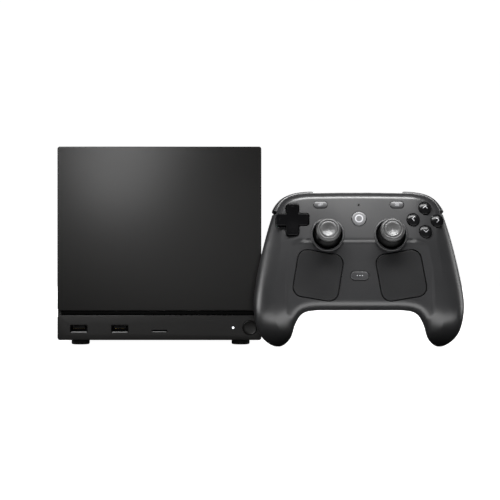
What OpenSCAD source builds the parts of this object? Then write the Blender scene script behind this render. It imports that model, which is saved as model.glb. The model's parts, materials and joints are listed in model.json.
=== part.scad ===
// Compact cube game console with a two-grip controller that stands in front of its right corner
// and leans on it. Units are millimetres, +Z is up and the front faces -Y.
// The origin is under the middle of the pair, on the surface that both stand on.
// The controller is drawn in its own frame: x to its right, y up its face, z out of its face.

/* [Console] */
// Width of the console
console_w = 156; // [140:1:200]
// Depth of the console, from the front plate to the rear panel
console_d = 162; // [150:1:200]
// Height of the console, feet included
console_h = 152; // [150:1:190]
// Height of the feet
foot_h = 4; // [3:0.5:6]
// Wall of the case sleeve
case_wall = 2.5; // [2:0.1:4]
// Thickness of the front plate
plate_t = 3; // [2.6:0.1:4]
// Thickness of the rear panel
rear_t = 2.6; // [2:0.1:4]
// Height of the port strip
strip_h = 19; // [18:0.5:24]
// Height of the groove with the light bar, between strip and plate
groove_h = 3.4; // [2.5:0.1:6]
// Diameter of the power button
power_d = 11; // [9:0.5:13]
// Travel of the power button
power_travel = 0.7; // [0.4:0.1:1]
// Size of the square cooling fan
fan_size = 116; // [90:1:118]
// Thickness of the fan frame
fan_t = 25; // [20:1:27]

/* [Controller] */
// Width of the controller over its grips
pad_w = 158.6; // [150:0.1:192]
// Wall of the controller shells
shell_wall = 2; // [1.6:0.1:2.4]
// Backward lean of the standing controller in degrees
pad_lean = 16; // [8:1:24]
// How far the left grip reaches in front of the console's right edge
pad_overlap = 6; // [3:0.5:12]
// Diameter of a face button
face_d = 9.7; // [8:0.1:10.4]
// Distance of a face button from the middle of its group
face_spread = 9.2; // [9:0.1:10]
// Travel of a face button
face_travel = 1.2; // [0.8:0.1:1.4]
// Span of the directional pad
dpad_span = 24.6; // [22:0.2:27]
// Width of an arm of the directional pad
dpad_arm = 9.4; // [8:0.1:10.5]
// Diameter of a thumbstick cap
cap_d = 18.2; // [16:0.2:20]
// Height of a thumbstick cap over the face
cap_h = 14.5; // [12:0.5:18]
// Radius of the stick opening in the face
stick_hole_r = 11.2; // [10.9:0.1:11.8]
// Width of a touch pad
touch_w = 33.6; // [28:0.2:34.6]
// Height of a touch pad
touch_h = 35.2; // [28:0.2:36]
// Turn of each touch pad in degrees
touch_turn = 9.5; // [0:0.5:12]
// Width of a trigger
trigger_w = 25; // [20:1:27]
// Full pull of a trigger in degrees
trigger_pull = 16; // [10:1:18]

/* [Fits] */
// Clearance between pieces that only sit beside each other
gap = 0.3; // [0.2:0.05:0.5]
// Clearance round a button in its opening
key_gap = 0.35; // [0.25:0.05:0.5]
// Radial clearance of a pin that turns in its bore
pin_gap = 0.05; // [0.03:0.01:0.1]

/* [Hidden] */
$fn = 48;
BLACK = [0.10, 0.10, 0.10];
CHARCOAL = [0.20, 0.20, 0.21];
GLOSS = [0.03, 0.03, 0.03];
STEEL = [0.72, 0.72, 0.74];
BOARD = [0.05, 0.22, 0.13];

// Console: planes and places
front_y = -console_d / 2;
rear_y = console_d / 2;
deck_z = foot_h + strip_h;                       // top of the port strip
plate_z = deck_z + groove_h;                     // lower edge of the front plate
plate_h = console_h - plate_z;
seat = 0.02;                                     // left open where two pieces touch
strip_t = plate_t;                               // strip and plate share their back plane
case_front_y = front_y + plate_t + seat;
case_rear_y = rear_y - rear_t;
inner_w = console_w - 2 * case_wall;             // clear width inside the sleeve
corner_r = 1.8;
tray_t = 3;
board_z = foot_h + tray_t + 1.3;                 // underside of the circuit boards, on posts
board_t = 1.6;
board_top = board_z + board_t;
port_board_d = 18;
port_board_y = front_y + strip_t + 3;
main_board_y = port_board_y + port_board_d + 2;
usb_w = 13;
usb_h = 5.7;
usb_d = 14;
usb_z = board_top + usb_h / 2;
usb_x = [-0.395 * console_w, -0.194 * console_w];
card_w = 12;
card_h = 1.5;
card_z = board_top + 1.05;
power_x = console_w / 2 - 8.8;
power_z = foot_h + strip_h / 2;
lens_x = power_x - 12.8;
lens_r = 0.75;
fan_z = (plate_z + console_h - case_wall) / 2;   // the fan stands in the middle of the clear height
fan_y = case_rear_y - seat - fan_t;
fan_r = fan_size / 2 - 3.2;
hub_r = 19;
shaft_r = 1.5;
sink_t = 4;
sink_z = board_top + 2.5;
sink_d = 50;
sink_w = fan_size - 6;
sink_y = fan_y - 6 - sink_d;
screw_r = 1.5;
column = 9;
magnet_x = console_w / 2 - 12;
magnet_z = plate_h / 2 - 12;
magnet_r = 4;
catch_w = 14;
catch_t = 3.5;
column_z = [plate_z + 7.5, console_h - case_wall - column / 2];
foot_r = 7;
// Rear sockets: middle x, width, height
rear_sockets = [[-56, 15.2, 5.6], [-36, 16.4, 6], [-18, 9, 3.4], [-2, usb_w, usb_h],
    [16, usb_w, usb_h], [36, 16, 13.4]];
inlet_x = 60;
inlet_w = 21;
inlet_h = 11;

// Controller: the outline, in tenths round the half from top centre over the grip to bottom centre
RIM = [[0, 23.5], [24, 23.3], [44, 22.6], [56, 19.2], [63, 12], [66.5, 2], [70, -10], [74, -26],
    [77.5, -44], [79.3, -60], [78, -74], [74, -84], [66, -90.5], [58, -91.5], [51.5, -86.5],
    [48, -77], [43, -70], [34, -67.5], [16, -67.3], [0, -67.3]];
rim_last = len(RIM) - 1;
rim_widest = 9;                                  // the control point at the grip's outer side
wide = pad_w / 158.6;                            // sideways stretch of the outline
stations = 24;
ribs = 20;
recess_y = -16;                                  // top edge of the lowered area with the touch pads
recess_depth = 1.8;
recess_slope = 6;
recess_half = 56 * wide;
recess_r = 12;
cluster_x = 50 * wide;                           // directional pad on the left, face buttons right
cluster_y = -0.4;
stick_x = 23.8 * wide;
stick_y = -12.3;
stick_pivot = -5.5;                              // height of the stick's tilt centre
skirt_r = stick_hole_r - gap;
skirt_t = 1;
stick_tilt = 18;
stick_press = 0.4;
touch_x = 31.1 * wide;
touch_y = -42.8;
touch_r = 7;
touch_travel = 0.4;
touch_gap = 0.8;
key_travel = 0.7;
pill = [10.2, 5];
quick = [13.6, 6.2];
home_d = 10.8;
small_key_x = 28.8 * wide;
small_key_y = 11;
home_y = 0;
quick_y = -43.1;
board_w = -12.6;                                 // height of the controller's circuit board
board2_t = 1.2;
board2_top = board_w + board2_t;
bumper_in = 33 * wide;
bumper_low = 8.5;
bumper_front = -6;
bumper_rear = -15.5;
bumper_proud = 1.1;
bumper_swing = 2.2;
trigger_x = 35 * wide;
trigger_y = 17.6;
trigger_w0 = -20.2;                              // height of the trigger's hinge line
trigger_yaw = -12;
trunnion_r = 1.5;
paddle_len = 21;
paddle_wide = 10.5;
paddle_travel = 0.8;
paddles = [[56 * wide, -20, -4], [60 * wide, -46, -4]];
port_w = board_w - 1.6 - seat;                   // height of the charging socket, under the board
seam = 0.12;                                     // parting line between the two shells
board_posts = [[38, -48], [38, -3]];
screw_places = [[16, 15.6, -18], [60 * wide, -66, -30]];
pad_screw_r = 1.2;

// Curves and surfaces of the controller
function ease(a, b, x) = let (t = max(0, min(1, (x - a) / (b - a)))) t * t * (3 - 2 * t);
function control(i) =
    i < 0 ? [-RIM[-i][0], RIM[-i][1]] :
    i > rim_last ? [-RIM[2 * rim_last - i][0], RIM[2 * rim_last - i][1]] : RIM[i];
function spline(a, b, c, d, f) =
    0.5 * (2 * b + (c - a) * f + (2 * a - 5 * b + 4 * c - d) * f * f
        + (3 * b - a - 3 * c + d) * f * f * f);
function rim_at(t) =
    let (i = floor(t), p = spline(control(i - 1), control(i), control(i + 1), control(i + 2), t - i))
    [p[0] * wide, p[1]];
function rim_normal(t) = let (s = rim_at(t + 0.02) - rim_at(t - 0.02)) [-s[1], s[0]] / norm(s);
function rim_inset(t, g) = rim_at(t) - g * rim_normal(t);
function outline(g) = [for (i = [0:4 * rim_last]) rim_inset(i / 4, g)];
function from_line(p, a, b) =
    let (s = b - a, t = max(0, min(1, ((p - a) * s) / (s * s)))) norm(p - a - t * s);
function depth_in(p, line) = min([for (i = [0:len(line) - 2]) from_line(p, line[i], line[i + 1])]);
function recess_plane(y) = -recess_depth + (y - recess_y + 2) * tan(recess_slope);
function recess_inside(x, y) =
    let (a = x - recess_half + recess_r, b = y - recess_y + recess_r)
    a > 0 && b > 0 ? recess_r - norm([a, b]) : recess_r - max(a, b);
function grip_face(x, y) =
    -5 * ease(38 * wide, 72 * wide, x) + 0.06 * min(0, y - recess_y)
    - 0.012 * pow(min(0, y + 60), 2);
function face_at(x, y) =
    let (a = abs(x), out = grip_face(a, y), low = min(out, recess_plane(y)))
    out + (low - out) * ease(0, 2.5, recess_inside(a, y));
function back_at(x, y) =
    -23 - 12 * ease(38 * wide, 64 * wide, abs(x)) * ease(8, -45, y) - 0.15 * max(0, -60 - y);
function edge_at(x, y) = 0.55 * grip_face(abs(x), y) + 0.45 * back_at(x, y);
function edge_round(x, y) = 7.5 + 9 * ease(46 * wide, 64 * wide, abs(x)) * ease(8, -22, y);
function arch(d, r) = d >= r ? 1 : sqrt(max(0, 1 - pow(1 - d / r, 2)));
// Height of the shell at p for inset g; side is 1 for the face and -1 for the back
function skin(p, g, line, side) =
    let (x = p[0], y = p[1], e = edge_at(x, y), r = edge_round(x, y) + (side > 0 ? 0 : 3) - g,
        top = side > 0 ? face_at(x, y) - g : back_at(x, y) + g)
    e + (top - e) * arch(depth_in(p, line), r);
function rib_share(j) = let (s = j / ribs) 0.8 * (0.5 - 0.5 * cos(180 * s)) + 0.2 * s;
function rib_point(k, j, g) =
    let (a = rim_inset(rim_widest * k / stations, g),
        b = rim_inset(rim_last - (rim_last - rim_widest) * k / stations, g))
    b + (a - b) * rib_share(j);
function half_skin(g, side) =
    let (line = outline(g))
    [for (k = [0:stations]) for (j = [0:k == stations ? 0 : ribs])
        let (p = rib_point(k, j, g)) [p[0], p[1], j == 0 || j == ribs ? edge_at(p[0], p[1]) :
            skin(p, g, line, side)]];
row = ribs + 1;
half_count = stations * row + 1;
skin_count = 2 * half_count - row;
function whole_skin(g, side) =
    let (h = half_skin(g, side))
    concat(h, [for (i = [row:half_count - 1]) [-h[i][0], h[i][1], h[i][2]]]);
function at(k, j) =
    let (q = abs(k), i = q == stations ? half_count - 1 : q * row + j)
    k >= 0 ? i : half_count + i - row;
function flip(f) = [for (i = [len(f) - 1:-1:0]) f[i]];
function shift(f, n) = [for (i = f) i + n];
// Faces of one skin seen from outside on the face side
skin_faces = [for (k = [-stations:stations - 1]) for (j = [0:ribs - 1])
    let (a = at(k, j), b = at(k + 1, j), c = at(k + 1, j + 1), d = at(k, j + 1))
    each k == -stations ? [[a, c, b]] : k + 1 == stations ? [[a, d, b]] : [[a, d, b], [d, c, b]]];
// Strip that closes the edge between one skin and another that starts n points later
function edge_faces(n) = [for (k = [-stations:stations - 1])
    let (a = at(k, 0), b = at(k + 1, 0), d = at(k, ribs), c = at(k + 1, ribs))
    each [[a, b, b + n], [a, b + n, a + n], [c, d, d + n], [c, d + n, c + n]]];

module half_shell(side) {
    points = concat(whole_skin(0, side), whole_skin(shell_wall, side));
    faces = concat(skin_faces, [for (f = skin_faces) flip(shift(f, skin_count))],
        edge_faces(skin_count));
    polyhedron(points, side > 0 ? faces : [for (f = faces) flip(f)], convexity = 8);
}
module pad_solid(g) {
    points = concat(whole_skin(g, 1), whole_skin(g, -1));
    polyhedron(points, concat(skin_faces, [for (f = skin_faces) flip(shift(f, skin_count))]),
        convexity = 8);
}

// Where the controller stands: lowest grip point on the table, left flank just off the console
lean_c = cos(pad_lean);
lean_s = sin(pad_lean);
flank = [for (k = [9:stations - 1]) for (j = [1, 2, 4, 7, 10, 13, 16, 19, 22, 23])
    let (p = rib_point(k, j, 0), line = outline(0)) [p[0], p[1], skin(p, 0, line, -1)]];
grip_edge = [for (i = [24:56]) let (p = rim_at(i / 4)) [p[0], p[1], edge_at(p[0], p[1])]];
pad_x = console_w / 2 + pad_w / 2 - pad_overlap;
pad_z = -min([for (p = concat(flank, grip_edge)) p[1] * lean_c + p[2] * lean_s]) + 0.15;
pad_y = front_y - gap - 0.4 - max([for (p = concat(flank, grip_edge))
    if (p[0] > pad_w / 2 - pad_overlap - 2) p[1] * lean_s - p[2] * lean_c]);
mid_x = (pad_x + pad_w / 2 - console_w / 2) / 2;
mid_y = (rear_y + pad_y + (stick_y - cap_d / 2) * lean_s - cap_h * lean_c) / 2;
echo(PLACES = [pad_x - mid_x, pad_y - mid_y, pad_z, mid_x, mid_y]);

module at_console() { translate([-mid_x, -mid_y, 0]) children(); }
module at_pad() {
    translate([pad_x - mid_x, pad_y - mid_y, pad_z]) rotate([90 - pad_lean, 0, 0]) children();
}

// Shared shapes
function round_rect(w, h, r, n = 6) =
    [for (c = [[1, 1, 0], [-1, 1, 90], [-1, -1, 180], [1, -1, 270]]) for (i = [0:n])
        [c[0] * (w / 2 - r) + r * cos(c[2] + 90 * i / n), c[1] * (h / 2 - r) + r * sin(c[2] + 90 * i / n)]];
module slab(w, h, r, z0, z1, n = 6) {
    translate([0, 0, z0]) linear_extrude(z1 - z0) polygon(round_rect(w, h, r, n));
}
// A slab that stands upright and runs from y0 to y1, centred on x and z
module upright(x, z, w, h, r, y0, y1) {
    translate([x, y1, z]) rotate([90, 0, 0]) slab(w, h, r, 0, y1 - y0);
}
module bar_y(x, z, r, y0, y1) { translate([x, y1, z]) rotate([90, 0, 0]) cylinder(r = r, h = y1 - y0); }
module box(low, high) { translate(low) cube(high - low); }
module both_sides() { children(); mirror([1, 0, 0]) children(); }

// Console
module case_sleeve() {
    color(CHARCOAL) difference() {
        union() {
            difference() {
                upright(0, (foot_h + console_h) / 2, console_w, console_h - foot_h, corner_r,
                    case_front_y, case_rear_y);
                box([-inner_w / 2, case_front_y - 1, foot_h - 1],
                    [inner_w / 2, case_rear_y + 1, console_h - case_wall]);
            }
            for (s = [-1, 1]) for (z = column_z)
                box([s * (inner_w - column) / 2 - column / 2 - 0.01, case_rear_y - 18, z - column / 2],
                    [s * (inner_w - column) / 2 + column / 2 + 0.01, case_rear_y, z + column / 2]);
            // Steel catches that the plate's magnets hold on to
            for (s = [-1, 1]) for (t = [-1, 1])
                translate([s * (inner_w - catch_w) / 2, case_front_y, plate_z + plate_h / 2 + t * magnet_z])
                    box([-catch_w / 2 - 0.01, 0, -catch_w / 2], [catch_w / 2 + 0.01, catch_t, catch_w / 2]);
        }
        for (s = [-1, 1]) for (z = column_z)
            bar_y(s * (inner_w - column) / 2, z, screw_r + pin_gap, case_rear_y - 14, case_rear_y + 1);
    }
}
module base_tray() {
    w = inner_w - 2 * gap;
    color(BLACK) {
        difference() {
            box([-w / 2, case_front_y, foot_h], [w / 2, case_rear_y - seat, foot_h + tray_t]);
            for (i = [-6:6])
                box([-44, i * 8 - 1.6, foot_h - 1], [44, i * 8 + 1.6, foot_h + tray_t + 1]);
        }
        for (x = [-w / 2 + 6, w / 2 - 6]) for (y = [port_board_y + 9, main_board_y + 8, case_rear_y - 12])
            translate([x, y, foot_h + tray_t]) cylinder(d = 6, h = board_z - foot_h - tray_t);
    }
}
module feet() {
    color(GLOSS) for (s = [-1, 1]) for (t = [-1, 1])
        translate([s * (console_w / 2 - 16), t * (console_d / 2 - 16), 0])
            cylinder(r = foot_r, h = foot_h);
}
module each_magnet() {
    for (s = [-1, 1]) for (t = [-1, 1])
        translate([s * magnet_x, 0, plate_z + plate_h / 2 + t * magnet_z]) children();
}
module front_plate() {
    color(CHARCOAL) difference() {
        upright(0, plate_z + plate_h / 2, console_w, plate_h, corner_r, front_y, front_y + plate_t);
        each_magnet() bar_y(0, 0, magnet_r + 0.1, front_y + plate_t - 1.6, front_y + plate_t + 1);
    }
}
module plate_magnets() {
    color(STEEL) each_magnet() bar_y(0, 0, magnet_r, front_y + plate_t - 1.5, front_y + plate_t);
}
module port_strip() {
    y0 = front_y - 1;
    y1 = front_y + strip_t + 1;
    color(CHARCOAL) difference() {
        upright(0, foot_h + strip_h / 2, console_w, strip_h, corner_r, front_y, front_y + strip_t);
        for (x = usb_x) upright(x, usb_z, usb_w + 0.4, usb_h + 0.4, 0.5, y0, y1);
        upright(0, card_z, card_w + 0.2, card_h + 0.2, 0.5, y0, y1);
        bar_y(power_x, power_z, power_d / 2 + key_gap, y0, y1);
        bar_y(lens_x, power_z, lens_r + 0.05, y0, y1);
    }
}
module light_bar() {
    color(GLOSS) upright(0, deck_z + groove_h / 2, inner_w - 0.6, groove_h - 0.3, 0.6,
        front_y + 1.6, front_y + 6);
}
module front_port_board() {
    color(BOARD) box([-inner_w / 2 + 1.5, port_board_y, board_z],
        [inner_w / 2 - 1.5, port_board_y + port_board_d, board_top]);
}
// A sheet-metal socket that opens towards -Y at y0, with the tongue that the plug slides over
module socket(x, w, h, y0, depth, tongue_h, lift = 0) {
    z = board_top + h / 2 + 0.02;
    difference() {
        upright(x, z, w, h, 0.5, y0, y0 + depth);
        upright(x, z, w - 0.8, h - 0.8, 0.3, y0 - 1, y0 + depth - 2);
    }
    box([x - w / 2 + 1.6, y0 + 1.2, z + lift - tongue_h / 2],
        [x + w / 2 - 1.6, y0 + depth - 1.5, z + lift + tongue_h / 2]);
}
module front_usb_ports() {
    color(STEEL) for (x = usb_x) socket(x, usb_w, usb_h, front_y + 0.8, usb_d, 1.8, 0.9);
}
module card_reader() {
    z = card_z;
    y0 = front_y + strip_t + 0.2;
    color(STEEL) difference() {
        box([-card_w / 2 - 1, y0, board_top + 0.02], [card_w / 2 + 1, y0 + 15, z + 1.2]);
        box([-card_w / 2 + 0.3, y0 - 1, z - 0.55], [card_w / 2 - 0.3, y0 + 13, z + 0.55]);
    }
}
module status_lens() {
    color("white") bar_y(lens_x, power_z, lens_r, front_y + 0.05, front_y + strip_t + 2);
}
module power_button() {
    color(CHARCOAL) difference() {
        union() {
            bar_y(power_x, power_z, power_d / 2, front_y + 0.15, front_y + strip_t + 1);
            bar_y(power_x, power_z, power_d / 2 + 0.65, front_y + strip_t + 0.2, front_y + strip_t + 1.2);
        }
        translate([power_x, front_y + 0.15 - 29.3, power_z]) sphere(r = 30, $fn = 96);
    }
}
module mainboard() {
    color(BOARD) box([-inner_w / 2 + 1.5, main_board_y, board_z],
        [inner_w / 2 - 1.5, case_rear_y - 4, board_top]);
}
module processors() {
    mid = sink_y + sink_d / 2;
    color(STEEL) {
        box([-42, mid - 17, board_top + 0.01], [-8, mid + 17, sink_z - 0.01]);
        box([4, mid - 19, board_top + 0.01], [42, mid + 19, sink_z - 0.01]);
    }
}
module memory_modules() {
    color(BOARD) for (s = [-1, 1]) translate([s * 36, main_board_y + 16, board_top + 0.02]) {
        box([-34.8, -15, 2], [34.8, 13, 3.2]);
        box([-35, -15, 0], [35, -10, 2.01]);
        for (i = [-1.5:1.5]) box([i * 16 - 6, -6, 3.19], [i * 16 + 6, 6, 4.3]);
    }
}
module solid_state_drive() {
    y = sink_y - 22.5;
    color(BOARD) {
        box([-40, y, board_top + 2], [40, y + 20, board_top + 3]);
        box([-40, y + 1, board_top + 0.02], [-34, y + 19, board_top + 2.01]);
        box([-26, y + 3, board_top + 2.99], [-6, y + 17, board_top + 4.2]);
        box([2, y + 3, board_top + 2.99], [22, y + 17, board_top + 4.2]);
    }
}
module heat_sink() {
    fins = 24;
    top = min(fan_z + fan_size / 2 - 4, console_h - case_wall - 4);
    color(STEEL) {
        box([-sink_w / 2, sink_y, sink_z], [sink_w / 2, sink_y + sink_d, sink_z + sink_t]);
        for (i = [0:fins])
            translate([-sink_w / 2 + i * (sink_w - 0.8) / fins, sink_y, sink_z + sink_t - 0.01])
                cube([0.8, sink_d, top - sink_z - sink_t]);
    }
}
module fan_frame() {
    color(BLACK) difference() {
        union() {
            difference() {
                upright(0, fan_z, fan_size, fan_size, 5, fan_y, fan_y + fan_t);
                bar_y(0, fan_z, fan_r, fan_y - 1, fan_y + fan_t + 1);
            }
            bar_y(0, fan_z, hub_r, fan_y + fan_t - 3, fan_y + fan_t);
            for (a = [45, 135]) translate([0, fan_y + fan_t - 3, fan_z]) rotate([0, a, 0])
                box([-fan_r - 1, 0.1, -2.5], [fan_r + 1, 2.9, 2.5]);
            bar_y(0, fan_z, shaft_r, fan_y + 6, fan_y + fan_t - 1);
        }
        for (s = [-1, 1]) for (t = [-1, 1])
            bar_y(s * (fan_size / 2 - 7), fan_z + t * (fan_size / 2 - 7), 2.2, fan_y - 1,
                fan_y + fan_t + 1);
    }
}
module fan_rotor() {
    blades = 9;
    hub_d = fan_t - 8;
    translate([0, fan_y + 2, fan_z]) rotate([-90, 0, 0]) color(GLOSS) difference() {
        union() {
            cylinder(r = hub_r, h = hub_d);
            for (i = [0:blades - 1]) rotate([0, 0, i * 360 / blades])
                translate([hub_r - 1, 0, hub_d / 2]) rotate([38, 0, 0])
                    box([0, -hub_d * 0.62, -0.8], [fan_r - hub_r - 1, hub_d * 0.62, 0.8]);
        }
        translate([0, 0, 3]) cylinder(r = shaft_r + pin_gap, h = fan_t);
        translate([0, 0, hub_d - 5]) cylinder(r = hub_r - 2, h = fan_t);
    }
}
module power_supply() {
    y = case_front_y + 4;
    top = console_h - case_wall - 6;
    ear = inner_w / 2 - seat;
    color(STEEL) {
        difference() {
            box([-inner_w / 2 + 10, y, fan_z - 4], [inner_w / 2 - 10, sink_y - 6, top]);
            for (i = [-8:8]) box([i * 7 - 1.5, y - 1, fan_z + 6], [i * 7 + 1.5, y + 2, fan_z + 46]);
        }
        for (z = [fan_z, top - 14]) box([-ear, y + 12, z], [ear, y + 32, z + 2]);
    }
}
module rear_ports() {
    color(STEEL) for (s = rear_sockets) mirror([0, 1, 0])
        socket(s[0], s[1], s[2], -case_rear_y + 0.2, 13, min(1.8, s[2] / 3));
}
module mains_inlet() {
    z = board_top + inlet_h / 2 + seat;
    color(BLACK) {
        difference() {
            upright(inlet_x, z, inlet_w, inlet_h, 5, case_rear_y - 20, case_rear_y + 0.1);
            upright(inlet_x, z, inlet_w - 4, inlet_h - 3.4, 3.7, case_rear_y - 16, case_rear_y + 1);
        }
        for (s = [-1, 1]) bar_y(inlet_x + s * 4.3, z, 1.2, case_rear_y - 17, case_rear_y - 2);
    }
}
module rear_panel() {
    cx = (foot_h + console_h) / 2;
    color(CHARCOAL) difference() {
        upright(0, cx, console_w, console_h - foot_h, corner_r, case_rear_y, rear_y);
        translate([0, rear_y + 1, 0]) rotate([90, 0, 0]) linear_extrude(rear_t + 2)
            intersection() {
                translate([0, fan_z]) circle(r = fan_r - 1, $fn = 96);
                union() for (i = [-7:7])
                    translate([-console_w / 2, fan_z + i * 7 - 2.2]) square([console_w, 4.4]);
            }
        for (s = rear_sockets)
            upright(s[0], board_top + s[2] / 2 + 0.02, s[1] - 0.6, s[2] - 0.6, 0.4, case_rear_y - 1,
                rear_y + 1);
        upright(inlet_x, board_top + inlet_h / 2 + seat, inlet_w + 0.4, inlet_h + 0.4, 5.2,
            case_rear_y - 1, rear_y + 1);
        for (s = [-1, 1]) for (z = column_z) {
            bar_y(s * (inner_w - column) / 2, z, screw_r + 0.2, case_rear_y - 1, rear_y + 1);
            bar_y(s * (inner_w - column) / 2, z, screw_r * 2 + 0.2, rear_y - 1.4, rear_y + 1);
        }
    }
}
module case_screws() {
    color(STEEL) for (s = [-1, 1]) for (z = column_z) difference() {
        union() {
            bar_y(s * (inner_w - column) / 2, z, screw_r, case_rear_y - 12, rear_y - 1);
            bar_y(s * (inner_w - column) / 2, z, screw_r * 2, rear_y - 1.4, rear_y - 0.1);
        }
        bar_y(s * (inner_w - column) / 2, z, 0.9, rear_y - 1, rear_y + 1);
    }
}

// Controller shells
module plus(span, arm, r, z0, z1) { slab(span, arm, r, z0, z1, 3); slab(arm, span, r, z0, z1, 3); }
module touch_frame(side) {
    translate([side * touch_x, touch_y, recess_plane(touch_y)]) rotate([recess_slope, 0, 0])
        rotate([0, 0, side * touch_turn]) children();
}
module quick_frame() {
    translate([0, quick_y, recess_plane(quick_y)]) rotate([recess_slope, 0, 0]) children();
}
module pill_hole(p, w, h) { hull() for (s = [-1, 1]) translate([p[0] + s * (w - h) / 2, p[1], -9])
    cylinder(d = h, h = 12, $fn = 32); }
module cluster_hole() {
    hull() for (s = [-1, 1]) translate([s * (dpad_span - dpad_arm) / 2, 0, -12])
        cylinder(d = dpad_arm + 1.1, h = 16, $fn = 24);
    hull() for (s = [-1, 1]) translate([0, s * (dpad_span - dpad_arm) / 2, -12])
        cylinder(d = dpad_arm + 1.1, h = 16, $fn = 24);
    plus(dpad_span + 1.1, dpad_arm + 1.1, 1.8, -12, 4);
}
face_places = [[0, face_spread], [face_spread, -0.2], [0, -face_spread], [-face_spread, -0.2]];
dpad_pivot = face_at(cluster_x, cluster_y) - 3.6;
function on_face(p) = [cluster_x + p[0], cluster_y + p[1], face_at(cluster_x + p[0], cluster_y + p[1])];
module bumper_zone(g) {
    box([bumper_in - g, bumper_low - (g > 0 ? 2 : 0), bumper_rear - g],
        [pad_w / 2, 40, bumper_front + g]);
}
module trigger_frame() {
    translate([trigger_x, trigger_y, trigger_w0]) rotate([0, 0, trigger_yaw]) children();
}
module trigger_well(g) {
    trigger_frame() box([-0.8 - g, -12.5 - g, -40], [trigger_w + 0.8 + g, 20, 5 + g]);
}
module screw_holes(r) { for (p = screw_places) translate([p[0], p[1], p[2] - 0.5]) cylinder(r = r, h = 14); }
module pad_front_shell() {
    at_pad() color(CHARCOAL) difference() {
        union() {
            half_shell(1);
            both_sides() {
                translate([stick_x, stick_y, -3.4]) cylinder(r = stick_hole_r + 1.7, h = 4.1);
                for (p = screw_places) translate([p[0], p[1], p[2] + 2.3])
                    cylinder(r = 3, h = face_at(p[0], p[1]) - p[2] - 3.3);
            }
        }
        both_sides() {
            translate([stick_x, stick_y, -5]) cylinder(r = stick_hole_r, h = 12);
            screw_holes(pad_screw_r + pin_gap);
            pill_hole([small_key_x, small_key_y], pill[0] + 2 * key_gap, pill[1] + 2 * key_gap);
            bumper_zone(0.5);
            touch_frame(1) slab(touch_w + 2 * touch_gap, touch_h + 2 * touch_gap, touch_r + touch_gap,
                -9, 5);
        }
        translate([-cluster_x, cluster_y, 0]) cluster_hole();
        for (p = face_places) translate(on_face(p) - [0, 0, 8]) cylinder(d = face_d + 2 * key_gap, h = 16);
        translate([0, home_y, -6]) cylinder(d = home_d + 2 * key_gap, h = 12);
        translate([0, small_key_y, -6]) cylinder(r = 0.85, h = 12);
        quick_frame() pill_hole([0, 0], quick[0] + 2 * key_gap, quick[1] + 2 * key_gap);
    }
}
module paddle_prism(p, grow) {
    translate([p[0], p[1], -60]) rotate([0, 0, p[2]])
        slab(paddle_wide + 2 * grow, paddle_len + 2 * grow, paddle_wide / 2 + grow - 0.3, 0, 42, 5);
}
module pad_rear_shell() {
    at_pad() color(CHARCOAL) difference() {
        union() {
            translate([0, 0, -seam]) half_shell(-1);
            intersection() {
                translate([0, 0, -seam]) pad_solid(0.6);
                both_sides() {
                    for (p = screw_places) translate([p[0], p[1], -50]) cylinder(r = 3.4, h = 52 + p[2]);
                    for (p = board_posts) translate([p[0], p[1], -50]) cylinder(r = 2.5, h = 50 + board_w - seat);
                    intersection() {
                        trigger_well(1.5);
                        box([0, -20, -40], [pad_w, 40, bumper_rear - 0.5]);
                    }
                }
            }
        }
        both_sides() {
            trigger_well(0);
            trigger_frame() translate([-3, 0, 0]) rotate([0, 90, 0])
                cylinder(r = trunnion_r + pin_gap, h = trigger_w + 6);
            bumper_zone(0.5);
            screw_holes(pad_screw_r + 0.15);
            for (p = screw_places) translate([p[0], p[1], -60]) cylinder(r = 2.6, h = 60 + p[2] + 0.1);
            for (p = paddles) paddle_prism(p, key_gap);
        }
        translate([0, 30, port_w]) rotate([90, 0, 0]) slab(10.2, 4.2, 2.1, 0, 14);
    }
}

// Controller inside
module pad_board() {
    at_pad() color(BOARD) difference() {
        union() {
            box([-44, -54, board_w], [44, 5, board2_top]);
            box([-62 * wide, -12, board_w], [62 * wide, 5, board2_top]);
            box([-30, 4, board_w], [30, 11.5, board2_top]);
            box([-8, 11, board_w], [8, 20, board2_top]);
        }
        both_sides() translate([stick_x, stick_y, board_w - 1]) cylinder(r = 3, h = 4);
    }
}
module battery() {
    at_pad() color(GLOSS) translate([0, -22.5, 0])
        slab(46, 34, 3, back_at(0, 0) - seam + shell_wall + seat, board_w - 2);
}
module stick_housings() {
    at_pad() color(STEEL) both_sides() translate([stick_x, stick_y, board2_top + 0.01]) difference() {
        slab(13, 13, 0.8, 0, stick_pivot + 2 - board2_top, 2);
        slab(11.2, 11.2, 0.4, -1, 12, 2);
    }
}
module button_membranes() {
    dpad_top = dpad_pivot - 2.6 - 0.9;           // clear of the tilted rocker
    at_pad() color([0.5, 0.5, 0.52]) {
        translate([-cluster_x, cluster_y, board2_top + seat]) {
            slab(22, 22, 3, 0, 0.8);
            for (p = [[6.5, 0], [-6.5, 0], [0, 6.5], [0, -6.5]]) translate(p)
                cylinder(r = 1.8, h = dpad_top - board2_top - seat);
        }
        translate([cluster_x, cluster_y, board2_top + seat]) {
            plus(24, 6, 1.5, 0, 0.8);
            for (p = face_places) translate(p)
                cylinder(r = 2.4, h = on_face(p)[2] - 5 - face_travel - 0.3 - board2_top - seat);
        }
    }
}
module haptic_motors() {
    at_pad() color(STEEL) both_sides() translate([touch_x, touch_y + 4, board2_top + 0.01])
        cylinder(r = 6, h = 1.6);
}
module charge_port() {
    at_pad() color(STEEL) translate([0, 23, port_w]) rotate([90, 0, 0]) difference() {
        slab(8.9, 3.2, 1.55, 0, 8);
        slab(8.3, 2.6, 1.25, -1, 7);
    }
}
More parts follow.
